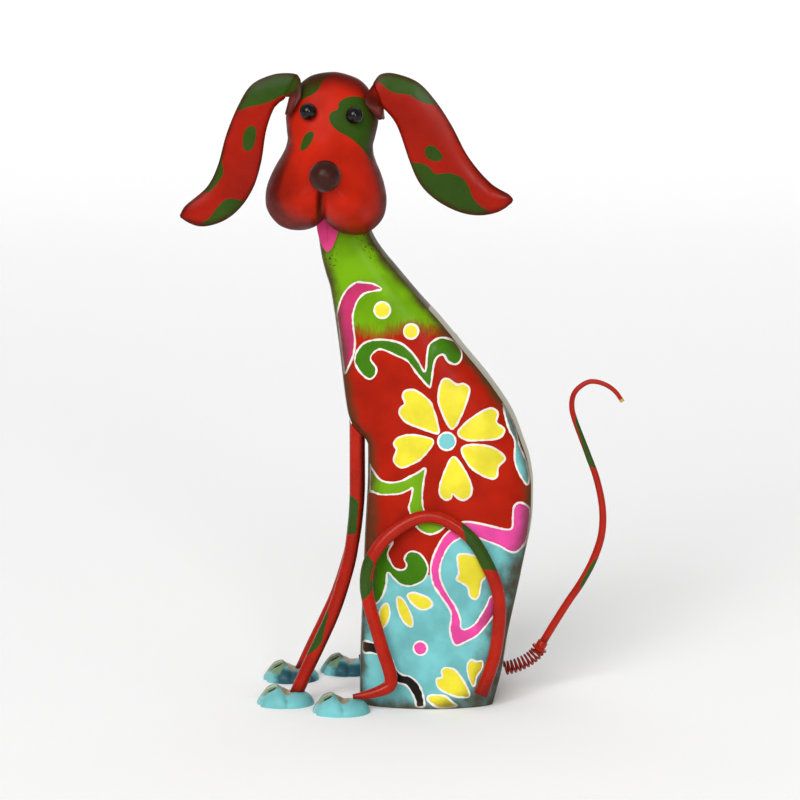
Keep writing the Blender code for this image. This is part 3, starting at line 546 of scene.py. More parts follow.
def inside_distance(x, z, outline):
    """Signed distance to a closed outline, positive inside."""
    p = np.stack([x, z], axis=-1)[..., None, :]
    a = np.asarray(outline, float)
    b = np.roll(a, -1, axis=0)
    edge = b - a
    reach = np.clip(((p - a) * edge).sum(-1) / (edge ** 2).sum(-1), 0, 1)
    near = np.sqrt((((p - a) - edge * reach[..., None]) ** 2).sum(-1)).min(-1)
    px, pz = p[..., 0], p[..., 1]
    cross = (a[:, 1] > pz) != (b[:, 1] > pz)
    safe = np.where(b[:, 1] == a[:, 1], 1.0, b[:, 1] - a[:, 1])
    hits = cross & (px < (b[:, 0] - a[:, 0]) * (pz - a[:, 1]) / safe + a[:, 0])
    return np.where(hits.sum(-1) % 2 == 1, near, -near)


def patch_distance(x, z, outlines):
    smooth = [smooth_line(outline, 60, closed=True) for outline in outlines]
    return np.max([inside_distance(x, z, outline) for outline in smooth], axis=0)


def add_node(tree, kind, inputs=None, **settings):
    """One node with its settings; an input takes a value or another node's output."""
    node = tree.nodes.new(kind)
    for key, value in settings.items():
        setattr(node, key, value)
    for key, value in (inputs or {}).items():
        if isinstance(value, bpy.types.NodeSocket):
            tree.links.new(value, node.inputs[key])
        else:
            node.inputs[key].default_value = value
    return node


def new_object(name, data):
    thing = bpy.data.objects.new(name, data)
    bpy.context.scene.collection.objects.link(thing)
    return thing


def solid_mesh(name, points, faces):
    """Mesh from points in millimetres with every face turned outwards."""
    mesh = bpy.data.meshes.new(name)
    mesh.from_pydata((np.asarray(points) * MM).tolist(), [], faces)
    turn_outwards(mesh)
    return mesh


def turn_outwards(mesh):
    shape = bmesh.new()
    shape.from_mesh(mesh)
    bmesh.ops.recalc_face_normals(shape, faces=shape.faces)
    shape.to_mesh(mesh)
    shape.free()


def evaluated_mesh(thing):
    """The mesh that an object's modifiers leave; the object itself is removed."""
    bpy.context.view_layer.update()
    depsgraph = bpy.context.evaluated_depsgraph_get()
    mesh = bpy.data.meshes.new_from_object(thing.evaluated_get(depsgraph), depsgraph=depsgraph)
    bpy.data.objects.remove(thing, do_unlink=True)
    return mesh


def add_mesh(name, points, faces, material, replaced=(), fields=None):
    """One riding piece from points in millimetres; fields are point attributes."""
    finish_piece(solid_mesh(name, points, faces), material, replaced, fields or {}, 38)


def finish_piece(mesh, material, replaced, fields, crease):
    for field, values in fields.items():
        mesh.attributes.new(field, "FLOAT", "POINT").data.foreach_set(
            "value", np.asarray(values, np.float32))
    if not mesh.materials:
        mesh.materials.append(material)
    mesh.shade_smooth()
    mesh.set_sharp_from_angle(angle=math.radians(crease))
    piece = new_object(mesh.name, mesh)
    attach(piece, ROOT)
    if replaced:
        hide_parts(*replaced)


def grid_faces(rows, columns, wrap=True):
    """Quads of a grid of points, row by row; wrap joins the last column to the first."""
    faces = []
    for r in range(rows - 1):
        for c in range(columns if wrap else columns - 1):
            n = (c + 1) % columns
            low, high = r * columns, (r + 1) * columns
            faces.append((low + c, low + n, high + n, high + c))
    return faces


def fan_faces(first, turns, pole):
    """Triangles from a ring of points, numbered from first, to one more point."""
    return [(first + k, first + (k + 1) % turns, pole) for k in range(turns)]


def stack_faces(rows, turns, tip=False):
    """Faces of stacked rings, flat at both ends, or drawn to one more point after the last."""
    last = (rows - 1) * turns
    faces = grid_faces(rows, turns) + [tuple(range(turns - 1, -1, -1))]
    return faces + (fan_faces(last, turns, last + turns) if tip else [tuple(range(last, last + turns))])


def full_turn(count):
    return 2 * np.pi * np.arange(count) / count


def sheet_mesh(rear, thickness):
    """Points and faces of a closed plate with its rear face on a grid (rows, columns, 3)."""
    rows, columns = rear.shape[:2]
    along = np.gradient(rear, axis=0)
    across = np.gradient(rear, axis=1)
    normal = np.cross(along, across)
    normal /= np.maximum(np.linalg.norm(normal, axis=-1, keepdims=True), 1e-9)
    normal *= np.where(normal[..., 1:2] > 0, -1, 1)
    front = rear + normal * thickness
    points = np.concatenate([rear.reshape(-1, 3), front.reshape(-1, 3)])
    lift = rows * columns
    flat = grid_faces(rows, columns, wrap=False)
    faces = flat + [tuple(i + lift for i in reversed(f)) for f in flat]
    rim = list(range(columns)) + [r * columns + columns - 1 for r in range(1, rows)]
    rim += [(rows - 1) * columns + c for c in range(columns - 2, -1, -1)]
    rim += [r * columns for r in range(rows - 2, 0, -1)]
    faces += [(b, a, a + lift, b + lift) for a, b in zip(rim, rim[1:] + rim[:1])]
    return points, faces


def both_faces(grid):
    """A sheet's field, written for its rear and its front face."""
    return np.tile(grid.reshape(-1), 2)


# Materials


def field_value(tree, name):
    return add_node(tree, "ShaderNodeAttribute", attribute_name=name).outputs["Fac"]


def soft_step(tree, value, low, high):
    """0 below low, 1 above high."""
    node = add_node(tree, "ShaderNodeMapRange", {"Value": value, 1: low, 2: high},
                    interpolation_type="SMOOTHSTEP")
    return node.outputs["Result"]


def blend_colour(tree, share, under, over):
    node = add_node(tree, "ShaderNodeMix", {0: share, 6: under, 7: over}, data_type="RGBA")
    return node.outputs[2]


def rgba(value):
    return (*tuple(value)[:3], 1.0)


def grain(tree, size, detail=3.0, stretch=(1.0, 1.0, 1.0)):
    """Noise on Object coordinates with features of about that many millimetres."""
    where = add_node(tree, "ShaderNodeTexCoord").outputs["Object"]
    scale = [s / (size * MM) for s in stretch]
    where = add_node(tree, "ShaderNodeMapping", {"Vector": where, "Scale": scale}).outputs[0]
    noise = add_node(tree, "ShaderNodeTexNoise", {"Vector": where, "Scale": 1.0, "Detail": detail})
    return noise.outputs["Fac"]


def maths(tree, operation, first, second):
    node = add_node(tree, "ShaderNodeMath", {0: first, 1: second}, operation=operation)
    return node.outputs[0]


def wander(tree, noise, width):
    """Noise moved to lie around zero and spread over that width."""
    return maths(tree, "MULTIPLY", maths(tree, "SUBTRACT", noise, 0.5), width)


def new_material(name):
    material = bpy.data.materials.new(name)
    material.use_nodes = True
    return material, material.node_tree


def finish_enamel(tree, tint, roughness, coat=0.02, specular=0.1, bump=0.05, texture=2.2):
    """Brushed-on gloss enamel over sheet: faint brush texture, slight unevenness of gloss."""
    shader = tree.nodes["Principled BSDF"]
    shader.inputs["Specular IOR Level"].default_value = specular
    shader.inputs["Coat Weight"].default_value = coat
    shader.inputs["Coat Roughness"].default_value = 0.12
    worn = add_node(tree, "ShaderNodeMapRange", {"Value": grain(tree, 9), 1: 0.3, 2: 0.7,
                                                 3: roughness * 0.8, 4: roughness * 1.25})
    tree.links.new(worn.outputs[0], shader.inputs["Roughness"])
    tree.links.new(tint, shader.inputs["Base Color"])
    if bump:
        peel = add_node(tree, "ShaderNodeBump", {"Height": grain(tree, texture), "Strength": bump,
                                                 "Distance": 0.0006})
        tree.links.new(peel.outputs[0], shader.inputs["Normal"])


def clouded(tree, base, size=24, low=0.84, high=1.1):
    """A base colour that drifts a little over the surface, as brushed paint does."""
    share = soft_step(tree, grain(tree, size), 0.3, 0.7)
    dim, bright = ([min(c * level, 1) for c in base] for level in (low, high))
    return blend_colour(tree, share, rgba(dim), rgba(bright))


def airbrushed(tree, tint, reach, strength, shade, low=0.0, waver=1.0):
    """Darkens towards an edge over some millimetres, unevenly, as an airbrush leaves it; also paints
    shade into grooves, creases and shaded sides.
    """
    drift = wander(tree, grain(tree, 11), reach * waver)
    place = maths(tree, "ADD", field_value(tree, "edge"), drift)
    spans = {"Value": place, 1: low, 2: reach, 3: strength, 4: 0.0}
    cover = add_node(tree, "ShaderNodeMapRange", spans, interpolation_type="SMOOTHSTEP")
    return blend_colour(tree, cover.outputs[0], tint, rgba(shade))


def enamel(name, base, layers=(), airbrush=0.0, strength=0.85, shade=None, waver=1.0, **finish):
    """Hand-painted enamel: base coat, then (field, colour, raggedness) layers, then dark rims and
    painted shade.
    """
    material, tree = new_material(name)
    tint = clouded(tree, base)
    for field, coat_colour, ragged in layers:
        place = maths(tree, "ADD", field_value(tree, field), wander(tree, grain(tree, 3.0), ragged))
        tint = blend_colour(tree, soft_step(tree, place, -0.25, 0.25), tint,
                            clouded(tree, coat_colour))
    if airbrush:
        tint = airbrushed(tree, tint, airbrush, strength, shade or colours().shade, waver=waver)
    finish_enamel(tree, tint, **finish)
    return material


def body_enamel():
    """Panels in lime, red and turquoise with a dry-brushed change, cream spine, brown seams."""
    # Satin brushed enamel: gives the eye flat bright fields, bristle marks where the lime meets
    # the red, small chips on the neck and a dirty brown airbrushed edge along every seam
    shop = colours()
    material, tree = new_material("brushed body enamel")
    tint = clouded(tree, shop.red, 26, 0.8, 1.12)
    strokes = grain(tree, 1.5, detail=6.0, stretch=(1.0, 1.0, 0.2))
    ragged = maths(tree, "ADD", field_value(tree, "lime"), wander(tree, strokes, 13.0))
    lime = clouded(tree, shop.lime, 26, 0.8, 1.15)
    tint = blend_colour(tree, soft_step(tree, ragged, -5.5, 5.5), tint, lime)
    away = soft_step(tree, maths(tree, "ABSOLUTE", ragged, 0.0), 0.0, 7.0)
    haze = maths(tree, "MULTIPLY", maths(tree, "SUBTRACT", 1.0, away), 0.5)
    tint = blend_colour(tree, haze, tint, rgba(shop.rust))
    below = soft_step(tree, field_value(tree, "turquoise"), -0.3, 0.3)
    tint = blend_colour(tree, below, tint, clouded(tree, shop.turquoise, 22, 0.8, 1.12))
    chips = maths(tree, "MULTIPLY", soft_step(tree, grain(tree, 1.9, detail=7.0), 0.585, 0.63),
                  soft_step(tree, field_value(tree, "neck"), 0.0, 1.0))
    tint = blend_colour(tree, chips, tint, rgba(shop.chip))
    pale = soft_step(tree, field_value(tree, "strip"), -0.1, 0.3)
    tint = blend_colour(tree, pale, tint, clouded(tree, shop.cream, 18, 0.9, 1.0))
    tint = airbrushed(tree, tint, sizes().airbrush / MM, 0.95, shop.shade, low=-0.5)
    finish_enamel(tree, tint, 0.36, specular=0.05, bump=0.1)
    return material


# Geometry Nodes: a bar of paint, wire or tube swept along a curve


def sweep_tree(name, sides, caps=True):
    """Sweeps a round profile along each curve; the curve's own radius scales it."""
    tree = bpy.data.node_groups.new(name, "GeometryNodeTree")
    sockets = {label: tree.interface.new_socket(label, in_out="INPUT", socket_type="NodeSocket" + kind)
               for label, kind in (("Path", "Geometry"), ("Radius", "Float"), ("Unevenness", "Float"),
                                   ("Finish", "Material"))}
    tree.interface.new_socket("Bar", in_out="OUTPUT", socket_type="NodeSocketGeometry")
    entry = add_node(tree, "NodeGroupInput").outputs
    lumps = add_node(tree, "ShaderNodeTexNoise", {"Scale": 300.0, "Detail": 1.0}).outputs["Fac"]
    swing = add_node(tree, "ShaderNodeMath", {0: lumps, 1: 0.5}, operation="SUBTRACT").outputs[0]
    swing = add_node(tree, "ShaderNodeMath", {0: swing, 1: entry["Unevenness"], 2: 1.0},
                     operation="MULTIPLY_ADD").outputs[0]
    own = add_node(tree, "GeometryNodeInputRadius").outputs[0]
    girth = add_node(tree, "ShaderNodeMath", {0: own, 1: swing}, operation="MULTIPLY").outputs[0]
    ring = add_node(tree, "GeometryNodeCurvePrimitiveCircle",
                    {"Resolution": sides, "Radius": entry["Radius"]}).outputs[0]
    bar = add_node(tree, "GeometryNodeCurveToMesh", {"Curve": entry["Path"], "Profile Curve": ring,
                                                     "Scale": girth, "Fill Caps": caps}).outputs[0]
    dressed = add_node(tree, "GeometryNodeSetMaterial",
                       {"Geometry": bar, "Material": entry["Finish"]}).outputs[0]
    add_node(tree, "NodeGroupOutput", {0: dressed})
    return tree, {label: socket.identifier for label, socket in sockets.items()}


def sweep(name, lines, radius, sides, material, replaced=(), closed=False, girths=None,
          unevenness=0.0, fields=None, ends=None):
    """A plain mesh of bars along lines of points in millimetres, one body for each line."""
    drawing = bpy.data.curves.new(name + " path", "CURVE")
    drawing.dimensions = "3D"
    for number, line in enumerate(lines):
        spline = drawing.splines.new("POLY")
        spline.points.add(len(line) - 1)
        spline.use_cyclic_u = closed
        places = np.concatenate([line * MM, np.ones((len(line), 1))], axis=1)
        spline.points.foreach_set("co", places.ravel())
        spline.points.foreach_set("radius", girths[number] if girths else np.ones(len(line)))
    guide = new_object(name + " path", drawing)
    build = guide.modifiers.new("sweep", "NODES")
    build.node_group, keys = sweep_tree(name + " sweep", sides, not closed)
    for label, value in (("Radius", radius * MM), ("Unevenness", unevenness), ("Finish", material)):
        build[keys[label]] = value
    mesh = evaluated_mesh(guide)
    mesh.name = name
    points = np.empty(len(mesh.vertices) * 3, np.float32)
    mesh.vertices.foreach_get("co", points)
    points = points.reshape(-1, 3).astype(float) / MM
    if ends:
        points = ends(points)
        mesh.vertices.foreach_set("co", (points * MM).astype(np.float32).ravel())
    turn_outwards(mesh)
    measured = {field: measure(points) for field, measure in (fields or {}).items()}
    finish_piece(mesh, material, replaced, measured, 40)


# Body


class TINDOG_OT_body(bpy.types.Operator):
    """Builds the shell: two bowed side panels, the spine strip and the chest strip"""
    bl_idname = "tin_dog.body"
    bl_label = "Body shell"

    def execute(self, context):
        rows = int(BODY_HEIGHT / (sizes().mesh_step / MM)) + 1
        heights = np.linspace(0, BODY_HEIGHT, rows)
        low, high, edge = chest_x(heights), spine_x(heights), strip_half(heights)
        panel, strip = 64, 16
        columns = []
        for side, wall in ((-1, high), (1, low)):
            for share in 0.5 + 0.5 * side * np.cos(np.pi * np.arange(panel) / panel):
                x = low + (high - low) * share
                columns.append((x, side * panel_depth(x, heights), 0))
            for k in range(strip):
                y = side * edge * (1 - 2 * k / strip)
                columns.append((wall - side * STRIP_CROWN * (1 - (y / edge) ** 2), y, 1))
        ring = np.stack([np.stack([c[0], c[1], heights], axis=-1) for c in columns], axis=1)
        on_strip = np.array([c[2] for c in columns])
        around = np.linalg.norm(ring - np.roll(ring, 1, axis=1), axis=-1)
        run = np.cumsum(around, axis=1) - around[:, :1]
        whole = run[:, -1:] + around[:, :1]
        corners = [0, panel, panel + strip, 2 * panel + strip]
        gap = np.min([np.minimum(abs(run - run[:, c:c + 1]), whole - abs(run - run[:, c:c + 1]))
                      for c in corners], axis=0)
        along = np.roll(ring, -1, axis=1) - np.roll(ring, 1, axis=1)
        out = np.stack([along[..., 1], -along[..., 0], np.zeros_like(gap)], axis=-1)
        out /= np.linalg.norm(out, axis=-1, keepdims=True)
        lip = SEAM_LIP * bell(gap, 0, SEAM_LIP_WIDTH) * (1 - on_strip)[None, :]
        ring = ring + out * lip[..., None]
        flat = ring.reshape(-1, 3)
        x, z = flat[:, 0], flat[:, 2]
        number = np.arange(len(columns))
        on_spine = (number >= panel) & (number <= panel + strip)
        signed = np.where(on_spine[None, :], gap, -gap).reshape(-1)
        pale = on_spine[None, :] & (heights[:, None] < PALE_STRIP_TO)
        worn = np.where(on_strip[None, :] > 0, np.where(pale, 1.5 + gap * 4, 0.4),
                        gap * soiled(x, z).reshape(gap.shape)).reshape(-1)
        chipped = np.where(z > NECK_WEAR_FROM, 1.0, -3.0)
        fields = {
            "strip": np.minimum(signed, (PALE_STRIP_TO + 2 - z) * 0.4),
            "neck": chipped - np.maximum(0, gap.reshape(-1) - 11) * 0.5,
            "lime": z - LIME_FROM - 0.05 * (x + 20) + 2.0 * np.sin(x / 7.0),
            "turquoise": inside_distance(x, z, smooth_line(TURQUOISE_FIELD, 160, closed=True)),
            "edge": np.minimum(worn, z * 0.9 * soiled(x, z) + 0.3),
        }
        faces = stack_faces(rows, len(columns))
        add_mesh("body_shell", flat, faces, body_enamel(), ["body"], fields)
        return {"FINISHED"}


# Painted figures


def circle(middle, radius, count=12):
    turn = [2 * math.pi * k / count for k in range(count)]
    return tuple((middle[0] + radius * math.cos(a), middle[1] + radius * math.sin(a)) for a in turn)


def figures():
    """(name, colour, near outlines, far outlines) of each group of painted figures."""
    shop = colours()
    dots = tuple(circle(*d) for d in DOTS)
    eye = circle(*FLOWER_EYE)
    return (
        ("yellow", shop.yellow, PETALS + SMALL_LEAVES + (LOZENGE,) + dots, PETALS + dots),
        ("pink", shop.pink, (WING, LOOP, circle(*PINK_DOT)), ()),
        ("rose", shop.rose, (CRESCENT,), ()),
        ("leaf", shop.leaf, (SCROLL, FERN), (SCROLL,)),
        ("lime", shop.lime, (ZIGZAG,), ()),
        ("teal", shop.turquoise, (TEAL_LEAF, eye), (eye,)),
        ("black", shop.black, (BAND,), ()),
    )


def keep_on_panel(line, margin=0.6):
    """Moves points that fall past the panel's edge back onto it."""
    x, z = line[:, 0], line[:, 1]
    return np.stack([np.clip(x, chest_x(z) + margin, spine_x(z) - margin), z], axis=1)


def figure_outline(points):
    around = sum(math.dist(p, q) for p, q in zip(points, points[1:] + points[:1]))
    return keep_on_panel(smooth_line(points, max(24, int(around / OUTLINE_STEP)), closed=True))


def outlines_with_sides(near, far):
    """Each figure's smooth outline with its side, -1 for the near panel and 1 for the far one."""
    return [(figure_outline(o), side) for side, group in ((-1, near), (1, far)) for o in group]


def figure_fill(outline, side):
    """Closed, slightly pillowed plate over an outline on the near (-1) or far (1) panel."""
    low, high = outline.min(0), outline.max(0)
    xs = np.arange(low[0], high[0], FILL_STEP)
    zs = np.arange(low[1], high[1], FILL_STEP * 0.87)
    inner = np.array([(x + FILL_STEP / 2 * (k % 2), z) for k, z in enumerate(zs) for x in xs])
    inner = inner[inside_distance(inner[:, 0], inner[:, 1], outline) > FILL_STEP * 0.45]
    count = len(outline)
    loop = [(k, (k + 1) % count) for k in range(count)]
    spots = [Vector(p) for p in np.concatenate([outline, inner])]
    made = delaunay_2d_cdt(spots, loop, [], 1, 1e-6)
    flat = np.array([tuple(p) for p in made[0]])
    faces = [tuple(f) for f in made[2]]
    depth = inside_distance(flat[:, 0], flat[:, 1], outline)
    rise = 1 - np.exp(-np.maximum(depth, 0) / FIGURE_ROUNDING)
    lift = FIGURE_SKIN + sizes().emboss / MM * rise
    base = panel_depth(flat[:, 0], flat[:, 1])
    top = np.stack([flat[:, 0], side * (base + lift), flat[:, 1]], axis=1)
    under = np.stack([flat[:, 0], side * (base - FIGURE_SINK), flat[:, 1]], axis=1)
    shift = len(flat)
    uses = Counter(tuple(sorted(edge)) for f in faces for edge in zip(f, f[1:] + f[:1]))
    walls = [(a, b, b + shift, a + shift) for (a, b), n in uses.items() if n == 1]
    faces = faces + [tuple(i + shift for i in reversed(f)) for f in faces] + walls
    return np.concatenate([top, under]), faces


class TINDOG_OT_figures(bpy.types.Operator):
    """Fills the embossed flower, leaves, scrolls, dots and bands with their colours"""
    bl_idname = "tin_dog.figures"
    bl_label = "Painted figures"

    def execute(self, context):
        for name, tint, near, far in figures():
            points, faces = [], []
            for outline, side in outlines_with_sides(near, far):
                part, walls = figure_fill(outline, side)
                start = sum(len(p) for p in points)
                points.append(part)
                faces += [tuple(i + start for i in f) for f in walls]
            points = np.concatenate(points)
            fields = {"edge": seam_distance(points[:, 0], points[:, 2])}
            # Flat brushed enamel: gives the eye a clean bright shape that browns towards the seams
            material = enamel(name + " gloss enamel", tint, airbrush=8.0, strength=0.8,
                              roughness=0.3)
            add_mesh("figures_" + name, points, faces, material, fields=fields)
        return {"FINISHED"}


class TINDOG_OT_lines(bpy.types.Operator):
    """Pipes the raised white line round every figure"""
    bl_idname = "tin_dog.lines"
    bl_label = "White lines"

    def execute(self, context):
        sink = sizes().line_sink / MM
        lines = []
        for _, _, near, far in figures():
            for flat, side in outlines_with_sides(near, far):
                depth = panel_depth(flat[:, 0], flat[:, 1]) - sink
                lines.append(np.stack([flat[:, 0], side * depth, flat[:, 1]], axis=1))
        # Thick piped enamel: gives the eye a raised white cord with a slightly shaky hand
        material = enamel("white line enamel", colours().white, airbrush=4.5, strength=0.85,
                          roughness=0.35, specular=0.2)
        sweep("white_lines", lines, sizes().line_radius / MM, CORD_SIDES, material,
              closed=True, unevenness=1.1,
              fields={"edge": lambda p: seam_distance(p[:, 0], p[:, 2])})
        return {"FINISHED"}


# Head


def head_share(side, up):
    """0 in the middle of the head, 1 on its outline."""
    angle = np.degrees(np.arctan2(np.abs(side), -(up - HEAD_MIDDLE)))
    return np.hypot(side, up - HEAD_MIDDLE) / (follow(HEAD_RIM, angle) * HEAD_HEIGHT)


def head_rise(side, up, grow=1.0):
    """How far the face stands in front of the plane of its outline."""
    share = np.minimum(head_share(side, up) / grow, 1.0)
    width = np.where(up > BRIDGE_UP, BRIDGE_ABOVE, BRIDGE_BELOW)
    bridge = bell(up, BRIDGE_UP, width) * bell(side, 0, BRIDGE_SPREAD)
    jowls = bell(np.abs(side), JOWL_SIDE, JOWL_SPREAD) * bell(up, JOWL_UP, JOWL_SPREAD)
    groove = bell(side, GROOVE_SIDE, GROOVE_WIDTH) / (1 + np.exp((up - GROOVE_TOP) / 2))
    boss = bell(np.hypot(side, up - BOSS_UP), 0, BOSS_SPREAD)
    rise = (FOREHEAD_RISE + MUZZLE_RISE * bridge + JOWL_RISE * jowls - GROOVE_DEPTH * groove
            + NOSE_BOSS * boss)
    return rise * (1 - share ** 3) ** 0.5


def head_place(side, up, y):
    """World point from head coordinates."""
    cos, sin = math.cos(HEAD_ROLL), math.sin(HEAD_ROLL)
    side, up, y = np.broadcast_arrays(side, up, y)
    x = NOSE_X + side * cos + up * sin - ORIGIN_X
    return np.stack([x, y, NOSE_Z - side * sin + up * cos], axis=-1)


def face_point(side, up):
    """World point on the face."""
    return head_place(side, up, RIM_PLANE - head_rise(side, up))


def head_coordinates(points):
    """Sideways and upward places of world points from the nose, along the rolled head."""
    cos, sin = math.cos(HEAD_ROLL), math.sin(HEAD_ROLL)
    dx, dz = points[:, 0] + ORIGIN_X - NOSE_X, points[:, 2] - NOSE_Z
    return dx * cos - dz * sin, dx * sin + dz * cos


class TINDOG_OT_head(bpy.types.Operator):
    """Builds the pressed head with its jowls, groove and painted patches"""
    bl_idname = "tin_dog.head"
    bl_label = "Head"

    def execute(self, context):
        turns = 168
        front = np.sin(np.linspace(np.pi / 2, 0, 64)[:-1]) ** 0.8
        back = np.sin(np.linspace(0, np.pi / 2, 30)[1:-1])
        angle = full_turn(turns)
        bend = np.degrees(np.minimum(angle, 2 * np.pi - angle))
        rim = follow(HEAD_RIM, bend) * HEAD_HEIGHT
        across, rise = rim * np.sin(angle), -rim * np.cos(angle)
        rings = [head_place(across * share, HEAD_MIDDLE + rise * share,
                            RIM_PLANE + BACK_RISE * (1 - share ** 2.6) ** 0.5) for share in back]
        rings += [face_point(across * share, HEAD_MIDDLE + rise * share) for share in front]
        poles = [head_place(0.0, HEAD_MIDDLE, RIM_PLANE + BACK_RISE), face_point(0.0, HEAD_MIDDLE)]
        points = np.concatenate(rings + [poles])
        after = len(rings) * turns
        faces = (grid_faces(len(rings), turns) + fan_faces(0, turns, after)
                 + fan_faces(after - turns, turns, after + 1))
        shop = colours()
        # Satin enamel: gives the eye a deep red face with green patches, oxblood rims, and painted
        # shade in the mouth groove, at the head's waist and over the left jowl and mouth
        material = enamel("satin head enamel", shop.face, [("patch", shop.patch, 0.5)],
                          airbrush=10.0, strength=0.9, shade=shop.oxblood, waver=0.35,
                          roughness=0.45, specular=0.05)
        mesh = self.cut(points, faces)
        points = np.array([tuple(v.co) for v in mesh.vertices]) / MM
        faces = [tuple(p.vertices) for p in mesh.polygons]
        side, up = head_coordinates(points)
        share = head_share(side, up)
        front_side = points[:, 1] < RIM_PLANE
        # Painted shade joins the airbrushed rim in the edge field: a dark line down the mouth groove,
        # darkening where the head narrows above the jowls, and over the left jowl and under the jowls
        groove_shade = 4.5 * np.abs(side - GROOVE_SIDE) - 1.5
        groove_shade = groove_shade + 6 * np.clip((up - GROOVE_TOP) / 8, 0, 10)
        rim_gap = np.where(front_side, (1 - share) * 46, 14.0)
        waist_shade = 12 * np.hypot((np.abs(side) - 29) / 9, (up - 16) / 8) + 2
        edge = np.minimum(np.minimum(rim_gap, np.where(front_side, groove_shade, 99)), waist_shade)
        jowl_and_mouth_shade = bell(side, -32, 26) * bell(up, -14, 26) + 0.7 * bell(side, 2, 20) * bell(up, -44, 12)
        edge = np.minimum(edge, 13) - 8.5 * jowl_and_mouth_shade * np.clip(edge / 8, 0, 1)
        patch = np.where(front_side, patch_distance(side, up, HEAD_PATCHES),
                         patch_distance(side, up, HEAD_PATCHES[1:2]))
        add_mesh("head_shell", points, faces, material, ["head"],
                 {"patch": patch, "edge": edge})
        return {"FINISHED"}

    def cut(self, points, faces):
        """Cuts the flat back of the muzzle and the ledge over the neck."""
        rear, half = 110.0, 220.0
        corners = [(x, y, z) for z in (0.0, BODY_HEIGHT + NECK_CLEARANCE)
                   for y in (BACK_PLANE, rear) for x in (-half, half)]
        sides = [(0, 2, 3, 1), (4, 5, 7, 6), (0, 1, 5, 4), (2, 6, 7, 3), (0, 4, 6, 2), (1, 3, 7, 5)]
        form = new_object("head form", solid_mesh("head form", points, faces))
        seat = new_object("seat", solid_mesh("seat", corners, sides))
        cut = form.modifiers.new("seat", "BOOLEAN")
        cut.operation = "DIFFERENCE"
        cut.object = seat
        mesh = evaluated_mesh(form)
        bpy.data.objects.remove(seat, do_unlink=True)
        return mesh


def ball(centre, radius, normal, seat, turns=56, steps=32):
    """Points and faces of a ball cut flat where it sits."""
    normal = Vector(normal).normalized()
    side = normal.orthogonal().normalized()
    up = normal.cross(side)
    axes = np.array([tuple(side), tuple(up), tuple(normal)])
    polar = np.linspace(math.acos(-seat / radius), 0, steps + 1)[:-1]
    around = full_turn(turns)
    rings = np.stack([
        np.outer(np.sin(polar), np.cos(around)),
        np.outer(np.sin(polar), np.sin(around)),
        np.outer(np.cos(polar), np.ones(turns)),
    ], axis=-1).reshape(-1, 3)
    points = np.concatenate([rings, [[0, 0, 1.0]]]) * radius @ axes + np.asarray(centre)
    return points, stack_faces(steps, turns, tip=True)


class TINDOG_OT_features(bpy.types.Operator):
    """Sets the nose, the eyes and the tongue"""
    bl_idname = "tin_dog.features"
    bl_label = "Nose, eyes and tongue"

    def execute(self, context):
        shop = colours()
        low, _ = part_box("nose")
        centre = head_place(0.0, 0.0, low[1] / MM + NOSE_RADIUS)
        # Gloss brown enamel: gives the eye a dark round nose with one soft light spot
        gloss = enamel("nose gloss enamel", shop.nose, roughness=0.36, coat=0.03, specular=0.16,
                       bump=0.02)
        points, faces = ball(centre, NOSE_RADIUS, (0, -1, 0), NOSE_SEAT)
        add_mesh("nose_ball", points, faces, gloss, ["nose"])
        # Black glass: gives the eye a wet black bead with a small sharp glint
        bead = enamel("black glass bead", shop.bead, roughness=0.08, coat=0.0, specular=0.3,
                      bump=0.0)
        for name, sign in (("eye_left", -1), ("eye_right", 1)):
            side, up = sign * EYE_SPREAD, EYE_HEIGHT
            here = face_point(side, up)
            normal = np.cross(face_point(side, up + 1) - here, face_point(side + 1, up) - here)
            normal *= -np.sign(normal[1]) / np.linalg.norm(normal)
            centre = here + normal * (EYE_SEAT + 0.1)
            points, faces = ball(centre, EYE_RADIUS, normal, EYE_SEAT, turns=40, steps=22)
            add_mesh(name + "_bead", points, faces, bead, [name])
        self.tongue(shop)
        return {"FINISHED"}

    def tongue(self, shop):
        rows, columns = 60, 31
        share = np.linspace(0, 1, rows)[:, None]
        half = TONGUE_WIDTH / 2 * np.clip(1 - share ** 2.6, 0, 1) ** 0.7 + 0.3
        across = np.linspace(-1, 1, columns)[None, :] * half
        side = TONGUE_SIDE * (0.6 + 0.8 * share) + across
        up = TONGUE_TOP - TONGUE_LENGTH * share + 0 * side
        curl = TONGUE_LENGTH * 0.28 * np.maximum(0.0, share - 0.74) ** 1.3
        crease = 0.5 * bell(across, 0, 0.9) * np.clip((0.82 - share) / 0.1, 0, 1)
        rear = head_place(side, up, BACK_PLANE + 0.3 + TONGUE_SHEET - curl + crease)
        points, faces = sheet_mesh(rear, TONGUE_SHEET)
        edge = 0.6 + 4 * np.abs(across) + 30 * np.clip((share - 0.8) / 0.1, 0, 1)
        # Satin pink enamel: gives the eye a bright leaf-shaped tongue with a dark middle crease
        material = enamel("pink satin enamel", shop.tongue, airbrush=3.0, strength=0.7,
                          shade=shop.oxblood, roughness=0.35)
        add_mesh("tongue_leaf", points, faces, material, ["tongue"],
                 {"edge": both_faces(edge)})


